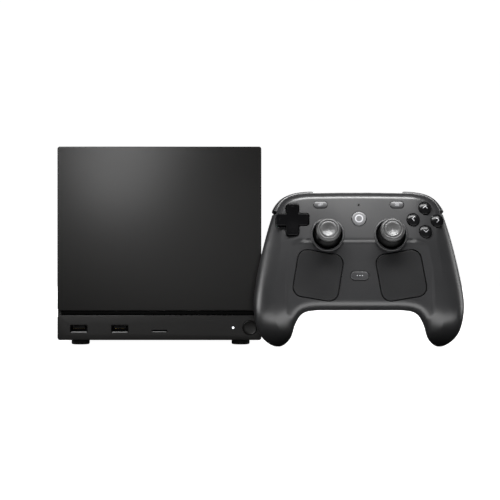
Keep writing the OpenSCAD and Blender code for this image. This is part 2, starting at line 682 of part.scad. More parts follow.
module pad_screws() {
    at_pad() color(STEEL) both_sides() for (p = screw_places) translate(p) difference() {
        union() {
            cylinder(r = pad_screw_r, h = 11);
            translate([0, 0, -1.8]) cylinder(r = 2.3, h = 1.81);
        }
        translate([0, 0, -3]) cylinder(r = 0.8, h = 2.2, $fn = 6);
    }
}
module pad_lens() {
    at_pad() color("white") translate([0, small_key_y, board2_top + seat])
        cylinder(r = 0.75, h = 0.05 - board2_top - seat);
}

// Controls
// A key: its shape rises proud of the face, on a wider foot under the shell
module key(w, h, r, proud, drop = 2.4, foot = 1) {
    slab(w, h, r, -drop - 0.5, proud);
    slab(w + 1.6, h + 1.6, r + 0.8, -drop - foot, -drop);
}
module small_key(x) { at_pad() translate([x, small_key_y, 0]) key(pill[0], pill[1], pill[1] / 2, 0.9); }
module view_button() { color(CHARCOAL) small_key(-small_key_x); }
module menu_button() { color(CHARCOAL) small_key(small_key_x); }
module quick_button() {
    color(CHARCOAL) at_pad() quick_frame() key(quick[0], quick[1], quick[1] / 2, 0.9);
}
module home_button() {
    color(CHARCOAL) at_pad() translate([0, home_y, 0]) {
        translate([0, 0, -2.9]) cylinder(d = home_d, h = 3.8);
        translate([0, 0, -3.4]) cylinder(d = home_d + 1.8, h = 1);
    }
}
module face_button(i) {
    color(GLOSS) at_pad() translate(on_face(face_places[i])) {
        intersection() {
            translate([0, 0, -4.2]) cylinder(d = face_d, h = 7);
            translate([0, 0, 2.3 - 9.6]) sphere(r = 9.6, $fn = 96);
        }
        slab(3, face_d + 1.4, 0.6, -4.6, -3.6, 2);
        translate([0, 0, -5]) cylinder(r = 2, h = 1);
    }
}
module dpad_rocker() {
    at_pad() color(BLACK) translate([-cluster_x, cluster_y, dpad_pivot]) difference() {
        union() {
            translate([0, 0, -2.6]) cylinder(r = 8.6, h = 1.2);
            translate([0, 0, -1.5]) slab(6, 6, 1, 0, 2.3, 2);
        }
        translate([0, 5, 0]) rotate([90, 0, 0]) cylinder(r = 0.8 + pin_gap, h = 10);
    }
}
module dpad_cross() {
    at_pad() color(GLOSS) translate([-cluster_x, cluster_y, dpad_pivot]) {
        difference() {
            plus(dpad_span, dpad_arm, 1.6, 0.2, 6);
            translate([0, 0, -1]) slab(7.4, 7.4, 1, 0, 3, 2);
            translate([0, 0, 6 + 59.2]) sphere(r = 60, $fn = 96);
        }
        translate([0, 4.4, 0]) rotate([90, 0, 0]) cylinder(r = 0.8, h = 8.8);
        for (s = [-1, 1]) box([-1, s * 4.2 - 0.5, -0.8], [1, s * 4.2 + 0.5, 0.6]);
    }
}
module at_stick(side) { at_pad() translate([side * stick_x, stick_y, stick_pivot]) children(); }
module carriage(side) {
    color(BLACK) at_stick(side) difference() {
        slab(10.6, 10.6, 0.6, -2.6, 1.7, 2);
        slab(8.8, 8.8, 0.4, -4, 3, 2);
        translate([-8, 0, 0]) rotate([0, 90, 0]) cylinder(r = 0.8 + pin_gap, h = 16);
    }
}
module yoke(side) {
    color(BLACK) at_stick(side) difference() {
        union() {
            translate([0, 0, -1]) cylinder(r = 4, h = 2);
            translate([-5, 0, 0]) rotate([0, 90, 0]) cylinder(r = 0.8, h = 10);
        }
        translate([0, 0, -2]) cylinder(r = 3, h = 4);
        translate([0, 5, 0]) rotate([90, 0, 0]) cylinder(r = 0.6 + pin_gap, h = 10);
    }
}
// Half section of the cap: concave top, rolled rim and a waist that runs into the stem
cap_r = cap_d / 2;
rise = cap_h - stick_pivot;
cap_section = [[0, 0], [2, 0], [2, 6.5], [4.6, 7.6], [5, rise - 6.2], [cap_r - 1.6, rise - 5],
    [cap_r - 0.2, rise - 3.6], [cap_r, rise - 2.2], [cap_r - 0.6, rise - 0.8], [cap_r - 1.6, rise],
    [cap_r - 2.8, rise], [cap_r - 4, rise - 0.6], [0, rise - 1.2]];
module stick(side) {
    color(CHARCOAL) at_stick(side) {
        rotate_extrude() polygon(cap_section);
        translate([0, 0, -3.2]) cylinder(r = 1.4, h = 3.3);
        translate([0, 3.9, 0]) rotate([90, 0, 0]) cylinder(r = 0.6, h = 7.8);
        rotate_extrude() polygon(concat(
            [for (a = [20:8:76]) skirt_r * [sin(a), cos(a)]],
            [for (a = [76:-8:20]) (skirt_r - skirt_t) * [sin(a), cos(a)]]));
        translate([0, 0, 8.4]) cylinder(r = 4.6, h = 1.6);
    }
}
module bumper() {
    color(GLOSS) at_pad() difference() {
        intersection() { pad_solid(-bumper_proud); bumper_zone(0); }
        pad_solid(1.8);
    }
}
// The trigger's section: y up the face, z out of it, from the hinge over the finger hook to its tip
trigger_section = [[-2.6, 2.6], [2.4, 3.4], [5.2, 1.6], [6.4, -3], [6, -9], [3.8, -15], [-0.6, -20.4],
    [-5.4, -23.4], [-6.2, -21.6], [-2.6, -17.6], [0.8, -12.4], [2.2, -7], [1.4, -3.4], [-2.6, -2.6]];
module trigger() {
    color(GLOSS) at_pad() trigger_frame() {
        rotate([90, 0, 90]) linear_extrude(trigger_w) polygon(trigger_section);
        translate([-1.8, 0, 0]) rotate([0, 90, 0]) cylinder(r = trunnion_r, h = trigger_w + 3.6);
    }
}
module mirrored() {
    translate([pad_x - mid_x, 0, 0]) mirror([1, 0, 0]) translate([mid_x - pad_x, 0, 0]) children();
}
module touch_pad(side) {
    color(BLACK) at_pad() touch_frame(side) {
        slab(touch_w, touch_h, touch_r, -3, 0.35);
        slab(touch_w + 2.4, touch_h + 2.4, touch_r + 1.2, -3.7, -2.9);
    }
}
module paddle(i) {
    p = paddles[i];
    color(BLACK) at_pad() difference() {
        union() {
            intersection() { paddle_prism(p, 0); pad_solid(-0.7); }
            intersection() { paddle_prism(p, 1.2); pad_solid(shell_wall + 0.45); }
        }
        pad_solid(shell_wall + 1.4);
    }
}

at_console() case_sleeve();
at_console() base_tray();
at_console() front_plate();
at_console() plate_magnets();
at_console() port_strip();
at_console() rear_panel();
at_console() light_bar();
at_console() front_port_board();
at_console() front_usb_ports();
at_console() card_reader();
at_console() status_lens();
at_console() power_button();
at_console() mainboard();
at_console() processors();
at_console() memory_modules();
at_console() solid_state_drive();
at_console() heat_sink();
at_console() fan_frame();
at_console() fan_rotor();
at_console() power_supply();
at_console() rear_ports();
at_console() mains_inlet();
at_console() feet();
at_console() case_screws();
pad_front_shell();
pad_rear_shell();
pad_board();
battery();
stick_housings();
button_membranes();
haptic_motors();
charge_port();
pad_screws();
pad_lens();
dpad_rocker();
dpad_cross();
face_button(0);  // face_top
face_button(1);  // face_right
face_button(2);  // face_bottom
face_button(3);  // face_left
carriage(-1);  // left_carriage
yoke(-1);  // left_yoke
stick(-1);  // left_stick
carriage(1);  // right_carriage
yoke(1);  // right_yoke
stick(1);  // right_stick
mirrored() bumper();  // left_bumper
bumper();  // right_bumper
mirrored() trigger();  // left_trigger
trigger();  // right_trigger
touch_pad(-1);  // left_touch_pad
touch_pad(1);  // right_touch_pad
view_button();
menu_button();
home_button();
quick_button();
mirrored() paddle(0);  // left_upper_paddle
mirrored() paddle(1);  // left_lower_paddle
paddle(0);  // right_upper_paddle
paddle(1);  // right_lower_paddle
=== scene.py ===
# %% [markdown]
# # A cube console and its two-grip controller
# The console is a black cube in fine matte plastic; the controller is a soft, rounded shell full of
# small glossy and satin controls. The hard dimensions come from the CAD frame, which is loaded
# first. Everything below gives those shapes their rounded edges, smooth skins and finishes.

# %% Load the frame and remember its size
import json
import math

import bpy
import numpy as np
from mathutils import Matrix, Vector

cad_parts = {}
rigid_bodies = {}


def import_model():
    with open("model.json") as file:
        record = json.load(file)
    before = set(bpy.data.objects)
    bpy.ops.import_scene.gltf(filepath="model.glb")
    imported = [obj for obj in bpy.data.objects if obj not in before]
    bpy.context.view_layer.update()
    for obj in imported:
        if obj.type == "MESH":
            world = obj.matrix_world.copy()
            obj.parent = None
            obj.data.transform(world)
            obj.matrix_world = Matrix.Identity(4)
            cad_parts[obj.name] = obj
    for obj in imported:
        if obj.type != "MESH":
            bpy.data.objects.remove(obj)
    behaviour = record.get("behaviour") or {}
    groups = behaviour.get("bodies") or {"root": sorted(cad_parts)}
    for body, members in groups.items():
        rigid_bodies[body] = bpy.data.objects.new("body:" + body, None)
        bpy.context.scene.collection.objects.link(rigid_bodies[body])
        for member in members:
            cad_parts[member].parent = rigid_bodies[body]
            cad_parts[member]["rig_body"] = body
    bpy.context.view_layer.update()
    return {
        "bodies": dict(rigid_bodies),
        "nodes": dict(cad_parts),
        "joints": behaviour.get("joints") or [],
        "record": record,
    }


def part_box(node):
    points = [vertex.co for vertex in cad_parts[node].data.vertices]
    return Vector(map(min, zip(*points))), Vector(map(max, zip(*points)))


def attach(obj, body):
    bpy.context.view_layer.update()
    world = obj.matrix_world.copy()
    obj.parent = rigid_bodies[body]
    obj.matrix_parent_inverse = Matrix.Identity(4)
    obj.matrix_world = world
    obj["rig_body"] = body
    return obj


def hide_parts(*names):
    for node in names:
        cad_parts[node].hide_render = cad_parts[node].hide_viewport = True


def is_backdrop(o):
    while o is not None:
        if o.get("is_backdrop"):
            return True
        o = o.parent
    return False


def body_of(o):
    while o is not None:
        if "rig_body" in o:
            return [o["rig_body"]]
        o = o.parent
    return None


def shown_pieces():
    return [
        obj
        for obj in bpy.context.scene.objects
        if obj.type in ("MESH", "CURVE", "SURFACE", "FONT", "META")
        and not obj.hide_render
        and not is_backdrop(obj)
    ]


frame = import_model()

MM = 0.001

# %% [markdown]
# The controller stands leaning back, so its parts are easiest to make lying flat and then to move
# into place. Three joints tell where it is: the directional pad tilts about the controller's own
# sideways and upward axes, and the two stick pivots lie either side of its middle.

# %% The controller's own frame, found from its joints
joints = {j["name"]: j for j in frame["joints"]}
across = Vector(joints["dpad_tilt_up_down"]["axis"])
upward = Vector(joints["dpad_tilt_left_right"]["axis"])
outward = across.cross(upward)
stick_pivots = [Vector(joints[side + "_stick_up_down"]["pos_m"]) for side in ("left", "right")]
stick_x = (stick_pivots[1] - stick_pivots[0]).length / 2
STICK_X, STICK_Y, STICK_PIVOT = stick_x / MM, -12.3, -5.5
origin = (stick_pivots[0] + stick_pivots[1]) / 2 - STICK_Y * MM * upward - STICK_PIVOT * MM * outward
PAD = Matrix.Translation(origin) @ Matrix((across, upward, outward)).transposed().to_4x4()
plate_low, plate_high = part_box("front_plate")
print("controller origin", [round(c / MM, 1) for c in origin], "mm, sticks", round(STICK_X, 1))

# %% [markdown]
# The camera looks straight at the console's front from a little over a metre away, slightly
# below its middle, with a long lens so that the cube's sides stay hidden behind its front.

# %% Camera
camera = bpy.data.objects.new("camera", bpy.data.cameras.new("camera"))
bpy.context.scene.collection.objects.link(camera)
camera.data.lens = 103.6
camera.data.sensor_width = 36
middle_x = (plate_low.x + plate_high.x) / 2
camera.location = (middle_x + 69.3 * MM, plate_low.y - 1.1, 72.9 * MM)
camera.rotation_euler = (math.radians(90), 0, 0)
bpy.context.scene.camera = camera
print("camera at", [round(c, 3) for c in camera.location])

# %% [markdown]
# Small helpers keep each modelling step short. An operator acts on everything that is selected, so
# the selection is always cleared first and one piece is picked up on purpose.


# %% Helpers for picking up and shaping pieces
def put_down():
    if bpy.context.mode != "OBJECT":
        bpy.ops.object.mode_set(mode="OBJECT")
    bpy.ops.object.select_all(action="DESELECT")


def pick_up(piece):
    put_down()
    piece.select_set(True)
    bpy.context.view_layer.objects.active = piece
    return piece


def apply_modifiers(piece):
    pick_up(piece)
    for modifier in list(piece.modifiers):
        bpy.ops.object.modifier_apply(modifier=modifier.name)
    return piece


def round_edges(piece, test, radius, segments):
    """Bevels the edges whose two end points pass the test."""
    pick_up(piece)
    bpy.ops.object.mode_set(mode="EDIT")
    bpy.ops.mesh.select_mode(type="EDGE")
    bpy.ops.mesh.select_all(action="DESELECT")
    bpy.ops.object.mode_set(mode="OBJECT")
    points = piece.data.vertices
    for edge in piece.data.edges:
        a, b = (points[i].co for i in edge.vertices)
        edge.select = bool(test(a, b))
    bpy.ops.object.mode_set(mode="EDIT")
    bpy.ops.mesh.bevel(
        offset=radius, segments=segments, profile=0.5, affect="EDGES", clamp_overlap=True
    )
    bpy.ops.object.mode_set(mode="OBJECT")
    return piece


def block(name, low, high, corner=0, edge=0, axis=2, segments=4):
    """A box whose four edges along axis have radius corner and whose two ends have radius edge."""
    put_down()
    low, high = Vector(low), Vector(high)
    bpy.ops.mesh.primitive_cube_add(size=1, location=(low + high) / 2)
    piece = bpy.context.active_object
    piece.name = name
    piece.scale = high - low
    bpy.ops.object.transform_apply(location=True, rotation=True, scale=True)
    if corner:
        round_edges(piece, lambda a, b: abs((b - a).normalized()[axis]) > 0.99, corner, 2 * segments)
    if edge:
        ends = (low[axis], high[axis])
        round_edges(
            piece,
            lambda a, b: any(abs(a[axis] - e) < 1e-6 and abs(b[axis] - e) < 1e-6 for e in ends),
            edge,
            segments,
        )
    return piece


def spans(name, x, y, z, **rounding):
    """A box given by its low and high ends along each axis."""
    return block(name, (x[0], y[0], z[0]), (x[1], y[1], z[1]), **rounding)


def around(middle, half):
    return middle - half, middle + half


def in_metres(points):
    return [(x * MM, y * MM) for x, y in points]


def new_piece(name, points, edges=(), faces=()):
    mesh = bpy.data.meshes.new(name)
    mesh.from_pydata(points, list(edges), list(faces))
    piece = bpy.data.objects.new(name, mesh)
    bpy.context.scene.collection.objects.link(piece)
    return pick_up(piece)


def extruded(name, points, low, high, edge=0, segments=3):
    """A flat outline in x and y, drawn out from low to high along z."""
    put_down()
    piece = new_piece(name, [(x, y, low) for x, y in points], faces=[tuple(range(len(points)))])
    bpy.ops.object.mode_set(mode="EDIT")
    bpy.ops.mesh.select_all(action="SELECT")
    bpy.ops.mesh.extrude_region_move(TRANSFORM_OT_translate={"value": (0, 0, high - low)})
    bpy.ops.mesh.select_all(action="SELECT")
    bpy.ops.mesh.normals_make_consistent(inside=False)
    bpy.ops.object.mode_set(mode="OBJECT")
    if edge:
        round_edges(piece, lambda a, b: min(a.z, b.z) > high - 1e-6, edge, segments)
    return piece


def turned(name, profile, steps=72):
    """A shape turned on a lathe: the profile is (radius, height) from the axis round to the axis."""
    put_down()
    links = [(i, i + 1) for i in range(len(profile) - 1)]
    piece = new_piece(name, [(r, 0, z) for r, z in profile], edges=links)
    bpy.ops.object.mode_set(mode="EDIT")
    bpy.ops.mesh.select_all(action="SELECT")
    bpy.ops.mesh.spin(steps=steps, angle=2 * math.pi, center=(0, 0, 0), axis=(0, 0, 1))
    bpy.ops.mesh.select_all(action="SELECT")
    bpy.ops.mesh.remove_doubles(threshold=1e-6)
    bpy.ops.mesh.normals_make_consistent(inside=False)
    bpy.ops.object.mode_set(mode="OBJECT")
    return piece


def cut(piece, *tools, keep="DIFFERENCE"):
    """Cuts the tools out of the piece, or keeps only what they share with it."""
    for tool in tools:
        modifier = piece.modifiers.new("cut", "BOOLEAN")
        modifier.operation = keep
        modifier.solver = "EXACT"
        modifier.object = tool
        apply_modifiers(piece)
        bpy.data.objects.remove(tool)
    return piece


def moved(piece, matrix):
    piece.data.transform(matrix)
    if matrix.determinant() < 0:
        piece.data.flip_normals()
    return piece


def copied(piece, name, matrix):
    twin = piece.copy()
    twin.data = piece.data.copy()
    twin.name = name
    bpy.context.scene.collection.objects.link(twin)
    return moved(twin, matrix)


def rounded_outline(width, height, radius, steps=8):
    points = []
    for quarter in range(4):
        sx, sy = ((1, 1), (-1, 1), (-1, -1), (1, -1))[quarter]
        for i in range(steps + 1):
            turn = math.radians(90 * quarter + 90 * i / steps)
            points.append(
                (
                    sx * (width / 2 - radius) + radius * math.cos(turn),
                    sy * (height / 2 - radius) + radius * math.sin(turn),
                )
            )
    return points


MIRROR = Matrix.Diagonal((-1, 1, 1, 1))


def facing_front(x, z, y):
    """Turns a piece made along +z so that its top looks to -y, with its base at (x, y, z)."""
    return Matrix.Translation((x, y, z)) @ Matrix.Rotation(math.radians(90), 4, "X")


# %% [markdown]
# Most of what one sees is moulded plastic, and what tells one part from the next is how fine its
# grain is and how tightly it reflects. One node group holds that grain. It gives a bumped normal and
# a roughness that wanders a little, as it does on any surface that has been touched and wiped.


# %% Shared finish: moulded grain
def make_grain_group():
    group = bpy.data.node_groups.new("moulded_grain", "ShaderNodeTree")
    face = group.interface
    for label, kind, value in (
        ("Grain Scale", "NodeSocketFloat", 2500.0),
        ("Grain Depth", "NodeSocketFloat", 0.15),
        ("Patch Scale", "NodeSocketFloat", 18.0),
        ("Smooth Roughness", "NodeSocketFloat", 0.4),
        ("Rough Roughness", "NodeSocketFloat", 0.5),
    ):
        face.new_socket(name=label, in_out="INPUT", socket_type=kind).default_value = value
    face.new_socket(name="Normal", in_out="OUTPUT", socket_type="NodeSocketVector")
    face.new_socket(name="Roughness", in_out="OUTPUT", socket_type="NodeSocketFloat")
    face.new_socket(name="Patch", in_out="OUTPUT", socket_type="NodeSocketFloat")
    nodes, links = group.nodes, group.links
    given, made = nodes.new("NodeGroupInput"), nodes.new("NodeGroupOutput")
    place = nodes.new("ShaderNodeTexCoord")
    grain = nodes.new("ShaderNodeTexNoise")
    grain.inputs["Detail"].default_value = 2
    patch = nodes.new("ShaderNodeTexNoise")
    patch.inputs["Detail"].default_value = 3
    bump = nodes.new("ShaderNodeBump")
    bump.inputs["Distance"].default_value = 0.0001
    spread = nodes.new("ShaderNodeMapRange")
    spread.inputs["From Min"].default_value = 0.35
    spread.inputs["From Max"].default_value = 0.65
    links.new(place.outputs["Object"], grain.inputs["Vector"])
    links.new(place.outputs["Object"], patch.inputs["Vector"])
    links.new(given.outputs["Grain Scale"], grain.inputs["Scale"])
    links.new(given.outputs["Patch Scale"], patch.inputs["Scale"])
    links.new(given.outputs["Grain Depth"], bump.inputs["Strength"])
    links.new(grain.outputs["Fac"], bump.inputs["Height"])
    links.new(patch.outputs["Fac"], spread.inputs["Value"])
    links.new(given.outputs["Smooth Roughness"], spread.inputs["To Min"])
    links.new(given.outputs["Rough Roughness"], spread.inputs["To Max"])
    links.new(bump.outputs["Normal"], made.inputs["Normal"])
    links.new(spread.outputs["Result"], made.inputs["Roughness"])
    links.new(patch.outputs["Fac"], made.inputs["Patch"])
    return group


GRAIN = make_grain_group()


def rgba(tone):
    """A grey from one number, or a colour from three."""
    return (*tone, 1) if isinstance(tone, tuple) else (tone, tone, tone, 1)


def finish(name, dark, light, rough, grain=(2500, 0.15), patch=18, metal=0, specular=0.5):
    """A material whose colour drifts from dark to light in patches, over the shared grain."""
    material = bpy.data.materials.new(name)
    material.use_nodes = True
    nodes, links = material.node_tree.nodes, material.node_tree.links
    shader = nodes["Principled BSDF"]
    group = nodes.new("ShaderNodeGroup")
    group.node_tree = GRAIN
    group.inputs["Grain Scale"].default_value = grain[0]
    group.inputs["Grain Depth"].default_value = grain[1]
    group.inputs["Patch Scale"].default_value = patch
    group.inputs["Smooth Roughness"].default_value = rough[0]
    group.inputs["Rough Roughness"].default_value = rough[1]
    ramp = nodes.new("ShaderNodeValToRGB")
    ramp.color_ramp.elements[0].position = 0.35
    ramp.color_ramp.elements[1].position = 0.65
    ramp.color_ramp.elements[0].color = rgba(dark)
    ramp.color_ramp.elements[1].color = rgba(light)
    links.new(group.outputs["Patch"], ramp.inputs["Fac"])
    links.new(ramp.outputs["Color"], shader.inputs["Base Color"])
    links.new(group.outputs["Roughness"], shader.inputs["Roughness"])
    links.new(group.outputs["Normal"], shader.inputs["Normal"])
    shader.inputs["Metallic"].default_value = metal
    shader.inputs["Specular IOR Level"].default_value = specular
    return material


# %% [markdown]
# Every finish below is that one recipe with its own two tones, roughness range and grain. Greys are
# given by a single number, and only tinted tones by three.

# %% Materials
CASE = (0.0100, 0.0095, 0.0090), (0.0120, 0.0115, 0.0110)
plate_plastic = finish("plate_plastic", *CASE, (0.33, 0.36), (1800, 0.10), 9, specular=0.3)
sleeve_plastic = finish("sleeve_plastic", *CASE, (0.38, 0.44), (1500, 0.20), 12, specular=0.35)
strip_plastic = finish("strip_plastic", *CASE, (0.32, 0.36), (1800, 0.12), 15, specular=0.3)
shell_plastic = finish(
    "shell_plastic", (0.01, 0.01, 0.0105), (0.0125, 0.0125, 0.013), (0.31, 0.35), (2200, 0.14), 22,
    specular=0.35,
)
key_plastic = finish(
    "key_plastic", (0.018, 0.018, 0.019), (0.024, 0.024, 0.025), (0.30, 0.36), (2600, 0.10), 40, specular=0.35
)
home_plastic = finish(
    "home_plastic", (0.05, 0.05, 0.052), (0.062, 0.062, 0.064), (0.30, 0.36), (2600, 0.10), 40, specular=0.4
)
gloss_plastic = finish(
    "gloss_plastic", (0.002, 0.002, 0.0022), (0.003, 0.003, 0.0032), (0.17, 0.23), (900, 0.02), 30,
    specular=0.12,
)
dpad_plastic = finish(
    "dpad_plastic", (0.0015, 0.0015, 0.0016), (0.002, 0.002, 0.0022), (0.10, 0.14), (900, 0.02), 30,
    specular=0.06,
)
smoked_plastic = finish("smoked_plastic", 0.002, 0.003, (0.25, 0.35), (900, 0.02), 20, specular=0.03)
touch_plastic = finish(
    "touch_plastic", (0.008, 0.008, 0.0083), (0.0095, 0.0095, 0.0098), (0.42, 0.48), (3200, 0.20), 25,
    specular=0.10,
)
stick_rubber = finish("stick_rubber", 0.014, 0.019, (0.42, 0.50), (2800, 0.25), 60, specular=0.45)
foot_rubber = finish("foot_rubber", 0.012, 0.018, (0.65, 0.80), (900, 0.50), 60)
inner_plastic = finish(
    "inner_plastic", (0.012, 0.012, 0.013), (0.018, 0.018, 0.019), (0.45, 0.60), (1200, 0.30), 20
)
socket_steel = finish("socket_steel", 0.1, 0.14, (0.32, 0.42), (1500, 0.10), 60, metal=1)
# Light grey that paints the highlight on the lower lips of the sockets and the card slot.
lip_painted_highlight = finish("lip_painted_highlight", 0.3, 0.36, (0.35, 0.45), (1500, 0.10), 60)
# Near black that paints the shade inside the openings: on the socket shells, which are steel, on the tongues
# and on the card reader behind the slot.
socket_painted_shade = finish("socket_painted_shade", 0.004, 0.007, (0.40, 0.50), (1500, 0.10), 60, specular=0.1)
contact_gold = finish(
    "contact_gold", (0.6, 0.42, 0.16), (0.7, 0.5, 0.2), (0.22, 0.30), (1500, 0.05), 60, metal=1
)
screw_steel = finish(
    "screw_steel", (0.1, 0.1, 0.105), (0.16, 0.16, 0.165), (0.30, 0.42), (1500, 0.20), 80, metal=1
)
bare_aluminium = finish(
    "bare_aluminium", (0.6, 0.6, 0.62), (0.72, 0.72, 0.74), (0.30, 0.42), (1200, 0.15), 25, metal=1
)
zinc_sheet = finish(
    "zinc_sheet", (0.45, 0.46, 0.48), (0.58, 0.59, 0.61), (0.32, 0.50), (600, 0.20), 30, metal=1
)
board_green = finish(
    "board_green", (0.01, 0.06, 0.035), (0.016, 0.085, 0.05), (0.28, 0.40), (900, 0.40), 90
)
silicone_grey = finish(
    "silicone_grey", (0.16, 0.16, 0.165), (0.2, 0.2, 0.205), (0.55, 0.70), (1500, 0.20), 60
)
cell_wrap = finish("cell_wrap", (0.02, 0.022, 0.03), (0.03, 0.033, 0.045), (0.22, 0.30), (500, 0.15), 60)
mark_grey = finish("mark_grey", (0.2, 0.2, 0.21), (0.26, 0.26, 0.27), (0.35, 0.45), (2500, 0.05), 80)
print("materials:", len(bpy.data.materials))

# %% [markdown]
# The top of each stick is turned, so its surface carries fine rings. They are too small to see one by
# one, but they stretch each highlight into two bright wedges that meet in the middle. The rings come
# from a noise that only changes with the first UV coordinate, which is the distance from the centre.


# %% Turned finish for the stick tops
def make_ring_group():
    group = bpy.data.node_groups.new("turned_rings", "ShaderNodeTree")
    face = group.interface
    face.new_socket(name="Depth", in_out="INPUT", socket_type="NodeSocketFloat").default_value = 0.5
    face.new_socket(name="Normal", in_out="OUTPUT", socket_type="NodeSocketVector")
    nodes, links = group.nodes, group.links
    given, made = nodes.new("NodeGroupInput"), nodes.new("NodeGroupOutput")
    place = nodes.new("ShaderNodeUVMap")
    across_rings = nodes.new("ShaderNodeVectorMath")
    across_rings.operation = "MULTIPLY"
    across_rings.inputs[1].default_value = (9000, 0, 0)
    rings = nodes.new("ShaderNodeTexNoise")
    rings.inputs["Scale"].default_value = 1
    rings.inputs["Detail"].default_value = 1
    bump = nodes.new("ShaderNodeBump")
    bump.inputs["Distance"].default_value = 0.0001
    links.new(place.outputs["UV"], across_rings.inputs[0])
    links.new(across_rings.outputs["Vector"], rings.inputs["Vector"])
    links.new(rings.outputs["Fac"], bump.inputs["Height"])
    links.new(given.outputs["Depth"], bump.inputs["Strength"])
    links.new(bump.outputs["Normal"], made.inputs["Normal"])
    return group


stick_dish = finish("stick_dish", 0.05, 0.065, (0.30, 0.36), (2800, 0.10), 60, metal=0.5)
ring_group = stick_dish.node_tree.nodes.new("ShaderNodeGroup")
ring_group.node_tree = make_ring_group()
ring_group.inputs["Depth"].default_value = 0.8
dish_shader = stick_dish.node_tree.nodes["Principled BSDF"]
stick_dish.node_tree.links.new(ring_group.outputs["Normal"], dish_shader.inputs["Normal"])

# %% [markdown]
# The console's status lamp is a tiny white light guide. An emission on the plastic's own shader
# makes it glow, and a soft noise tints that glow a little from place to place.


# %% Glowing light guide
def make_lamp(name, strength):
    material = finish(name, (0.80, 0.82, 0.85), (0.90, 0.92, 0.95), (0.25, 0.35), (900, 0.05), 400)
    nodes, links = material.node_tree.nodes, material.node_tree.links
    shader = nodes["Principled BSDF"]
    ramp = nodes.new("ShaderNodeValToRGB")
    ramp.color_ramp.elements[0].color = (0.85, 0.92, 1.0, 1)
    ramp.color_ramp.elements[1].color = (1.0, 1.0, 1.0, 1)
    noise = next(n for n in nodes if n.type == "GROUP")
    links.new(noise.outputs["Patch"], ramp.inputs["Fac"])
    links.new(ramp.outputs["Color"], shader.inputs["Emission Color"])
    shader.inputs["Emission Strength"].default_value = strength
    return material


lamp_white = make_lamp("lamp_white", 2.5)

# %% [markdown]
# Each finished piece is smoothed, given its finish and tied to the CAD body that it moves with, and
# the CAD solids that it stands for are hidden. Doing this in one place keeps it tidy.


# %% Handing a finished piece over
def ship(piece, body, material, replaces=(), angle=32):
    pick_up(piece)
    bpy.ops.object.shade_smooth_by_angle(angle=math.radians(angle))
    piece.data.materials.clear()
    piece.data.materials.append(material)
    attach(piece, body)
    if replaces:
        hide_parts(*replaces)
    print(f"{piece.name}: {len(piece.data.polygons)} faces on {body}")
    return piece


# %% [markdown]
# ## The console
# The front plate is a plain slab, so its quality lies in its edges: small upright corner radii and a
# finer roll at the front that catches a thin line of light.

# %% Front plate
plate = block("plate", plate_low, plate_high, corner=1.8 * MM, edge=0.5 * MM, axis=1)
ship(plate, "console", plate_plastic, ["front_plate"])

# %% [markdown]
# The sleeve is one wrap of plastic with an open front, back and underside. A solid block is rounded
# first and then hollowed, so that the wall keeps its thickness round the corners.

# %% Case sleeve
sleeve_low, sleeve_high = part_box("case_sleeve")
wall = 2.5 * MM
sleeve = block("sleeve", sleeve_low, sleeve_high, corner=1.8 * MM, axis=1)
hollow = block(
    "hollow",
    (sleeve_low.x + wall, sleeve_low.y - wall, sleeve_low.z - wall),
    (sleeve_high.x - wall, sleeve_high.y + wall, sleeve_high.z - wall),
)
cut(sleeve, hollow)
ship(sleeve, "console", sleeve_plastic, ["case_sleeve"])

# %% [markdown]
# The port strip carries every front opening. The cutters stand at the places of the sockets and
# controls behind it, each a little larger than what shows through it.

# %% Port strip
strip_low, strip_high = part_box("port_strip")
strip = block("strip", strip_low, strip_high, corner=1.8 * MM, edge=0.4 * MM, axis=1)
through = (strip_low.y - 2 * MM, strip_high.y + 2 * MM)
button_low, button_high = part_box("power_button")
power_x, power_z = (button_low.x + button_high.x) / 2, (button_low.z + button_high.z) / 2
lens_low, lens_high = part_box("status_lens")
lens_x = (lens_low.x + lens_high.x) / 2
usb_low, usb_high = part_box("front_usb_ports")
USB_W = 13 * MM
usb_middles = (usb_low.x + USB_W / 2, usb_high.x - USB_W / 2)
usb_z = (usb_low.z + usb_high.z) / 2
usb_h = usb_high.z - usb_low.z
card_low, card_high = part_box("card_reader")
card_x, card_z = (card_low.x + card_high.x) / 2, card_high.z - 1.2 * MM
openings = [
    spans("opening", around(x, half_wide), through, around(z, half_high), corner=0.5 * MM, axis=1)
    for x, z, half_wide, half_high in (
        (usb_middles[0], usb_z, 6.7 * MM, usb_h / 2 + 0.2 * MM),
        (usb_middles[1], usb_z, 6.7 * MM, usb_h / 2 + 0.2 * MM),
        (card_x, card_z, 6.1 * MM, 0.85 * MM),
    )
]
for x, radius in ((power_x, 5.85 * MM), (lens_x, 0.8 * MM)):
    put_down()
    bpy.ops.mesh.primitive_cylinder_add(
        vertices=72,
        radius=radius,
        depth=8 * MM,
        location=(x, strip_low.y, power_z),
        rotation=(math.radians(90), 0, 0),
    )
    hole = bpy.context.active_object
    bpy.ops.object.transform_apply(location=True, rotation=True, scale=True)
    openings.append(hole)
cut(strip, *openings)
ship(strip, "console", strip_plastic, ["port_strip"])

# %% [markdown]
# Each socket is a thin shell round a tongue, both near black. That dark is painted shade, the shade
# inside the opening. A light grey lip along the lower edge, just behind the strip's face, is a
# painted highlight: it shows as the bright line where the socket's edge catches the light in the
# black opening. The card slot has a lip too, narrower and thinner, with the same painted highlight.


# %% Front sockets
def socket_shell(name, x, z, width, height, front, depth):
    sheet = 0.4 * MM
    shell = spans(
        name,
        around(x, width / 2),
        (front, front + depth),
        around(z, height / 2),
        corner=0.6 * MM,
        edge=0.12 * MM,
        axis=1,
        segments=2,
    )
    inside = spans(
        "inside",
        around(x, width / 2 - sheet),
        (front - 1 * MM, front + depth - 1 * MM),
        around(z, height / 2 - sheet),
        corner=0.3 * MM,
        axis=1,
        segments=2,
    )
    return cut(shell, inside)


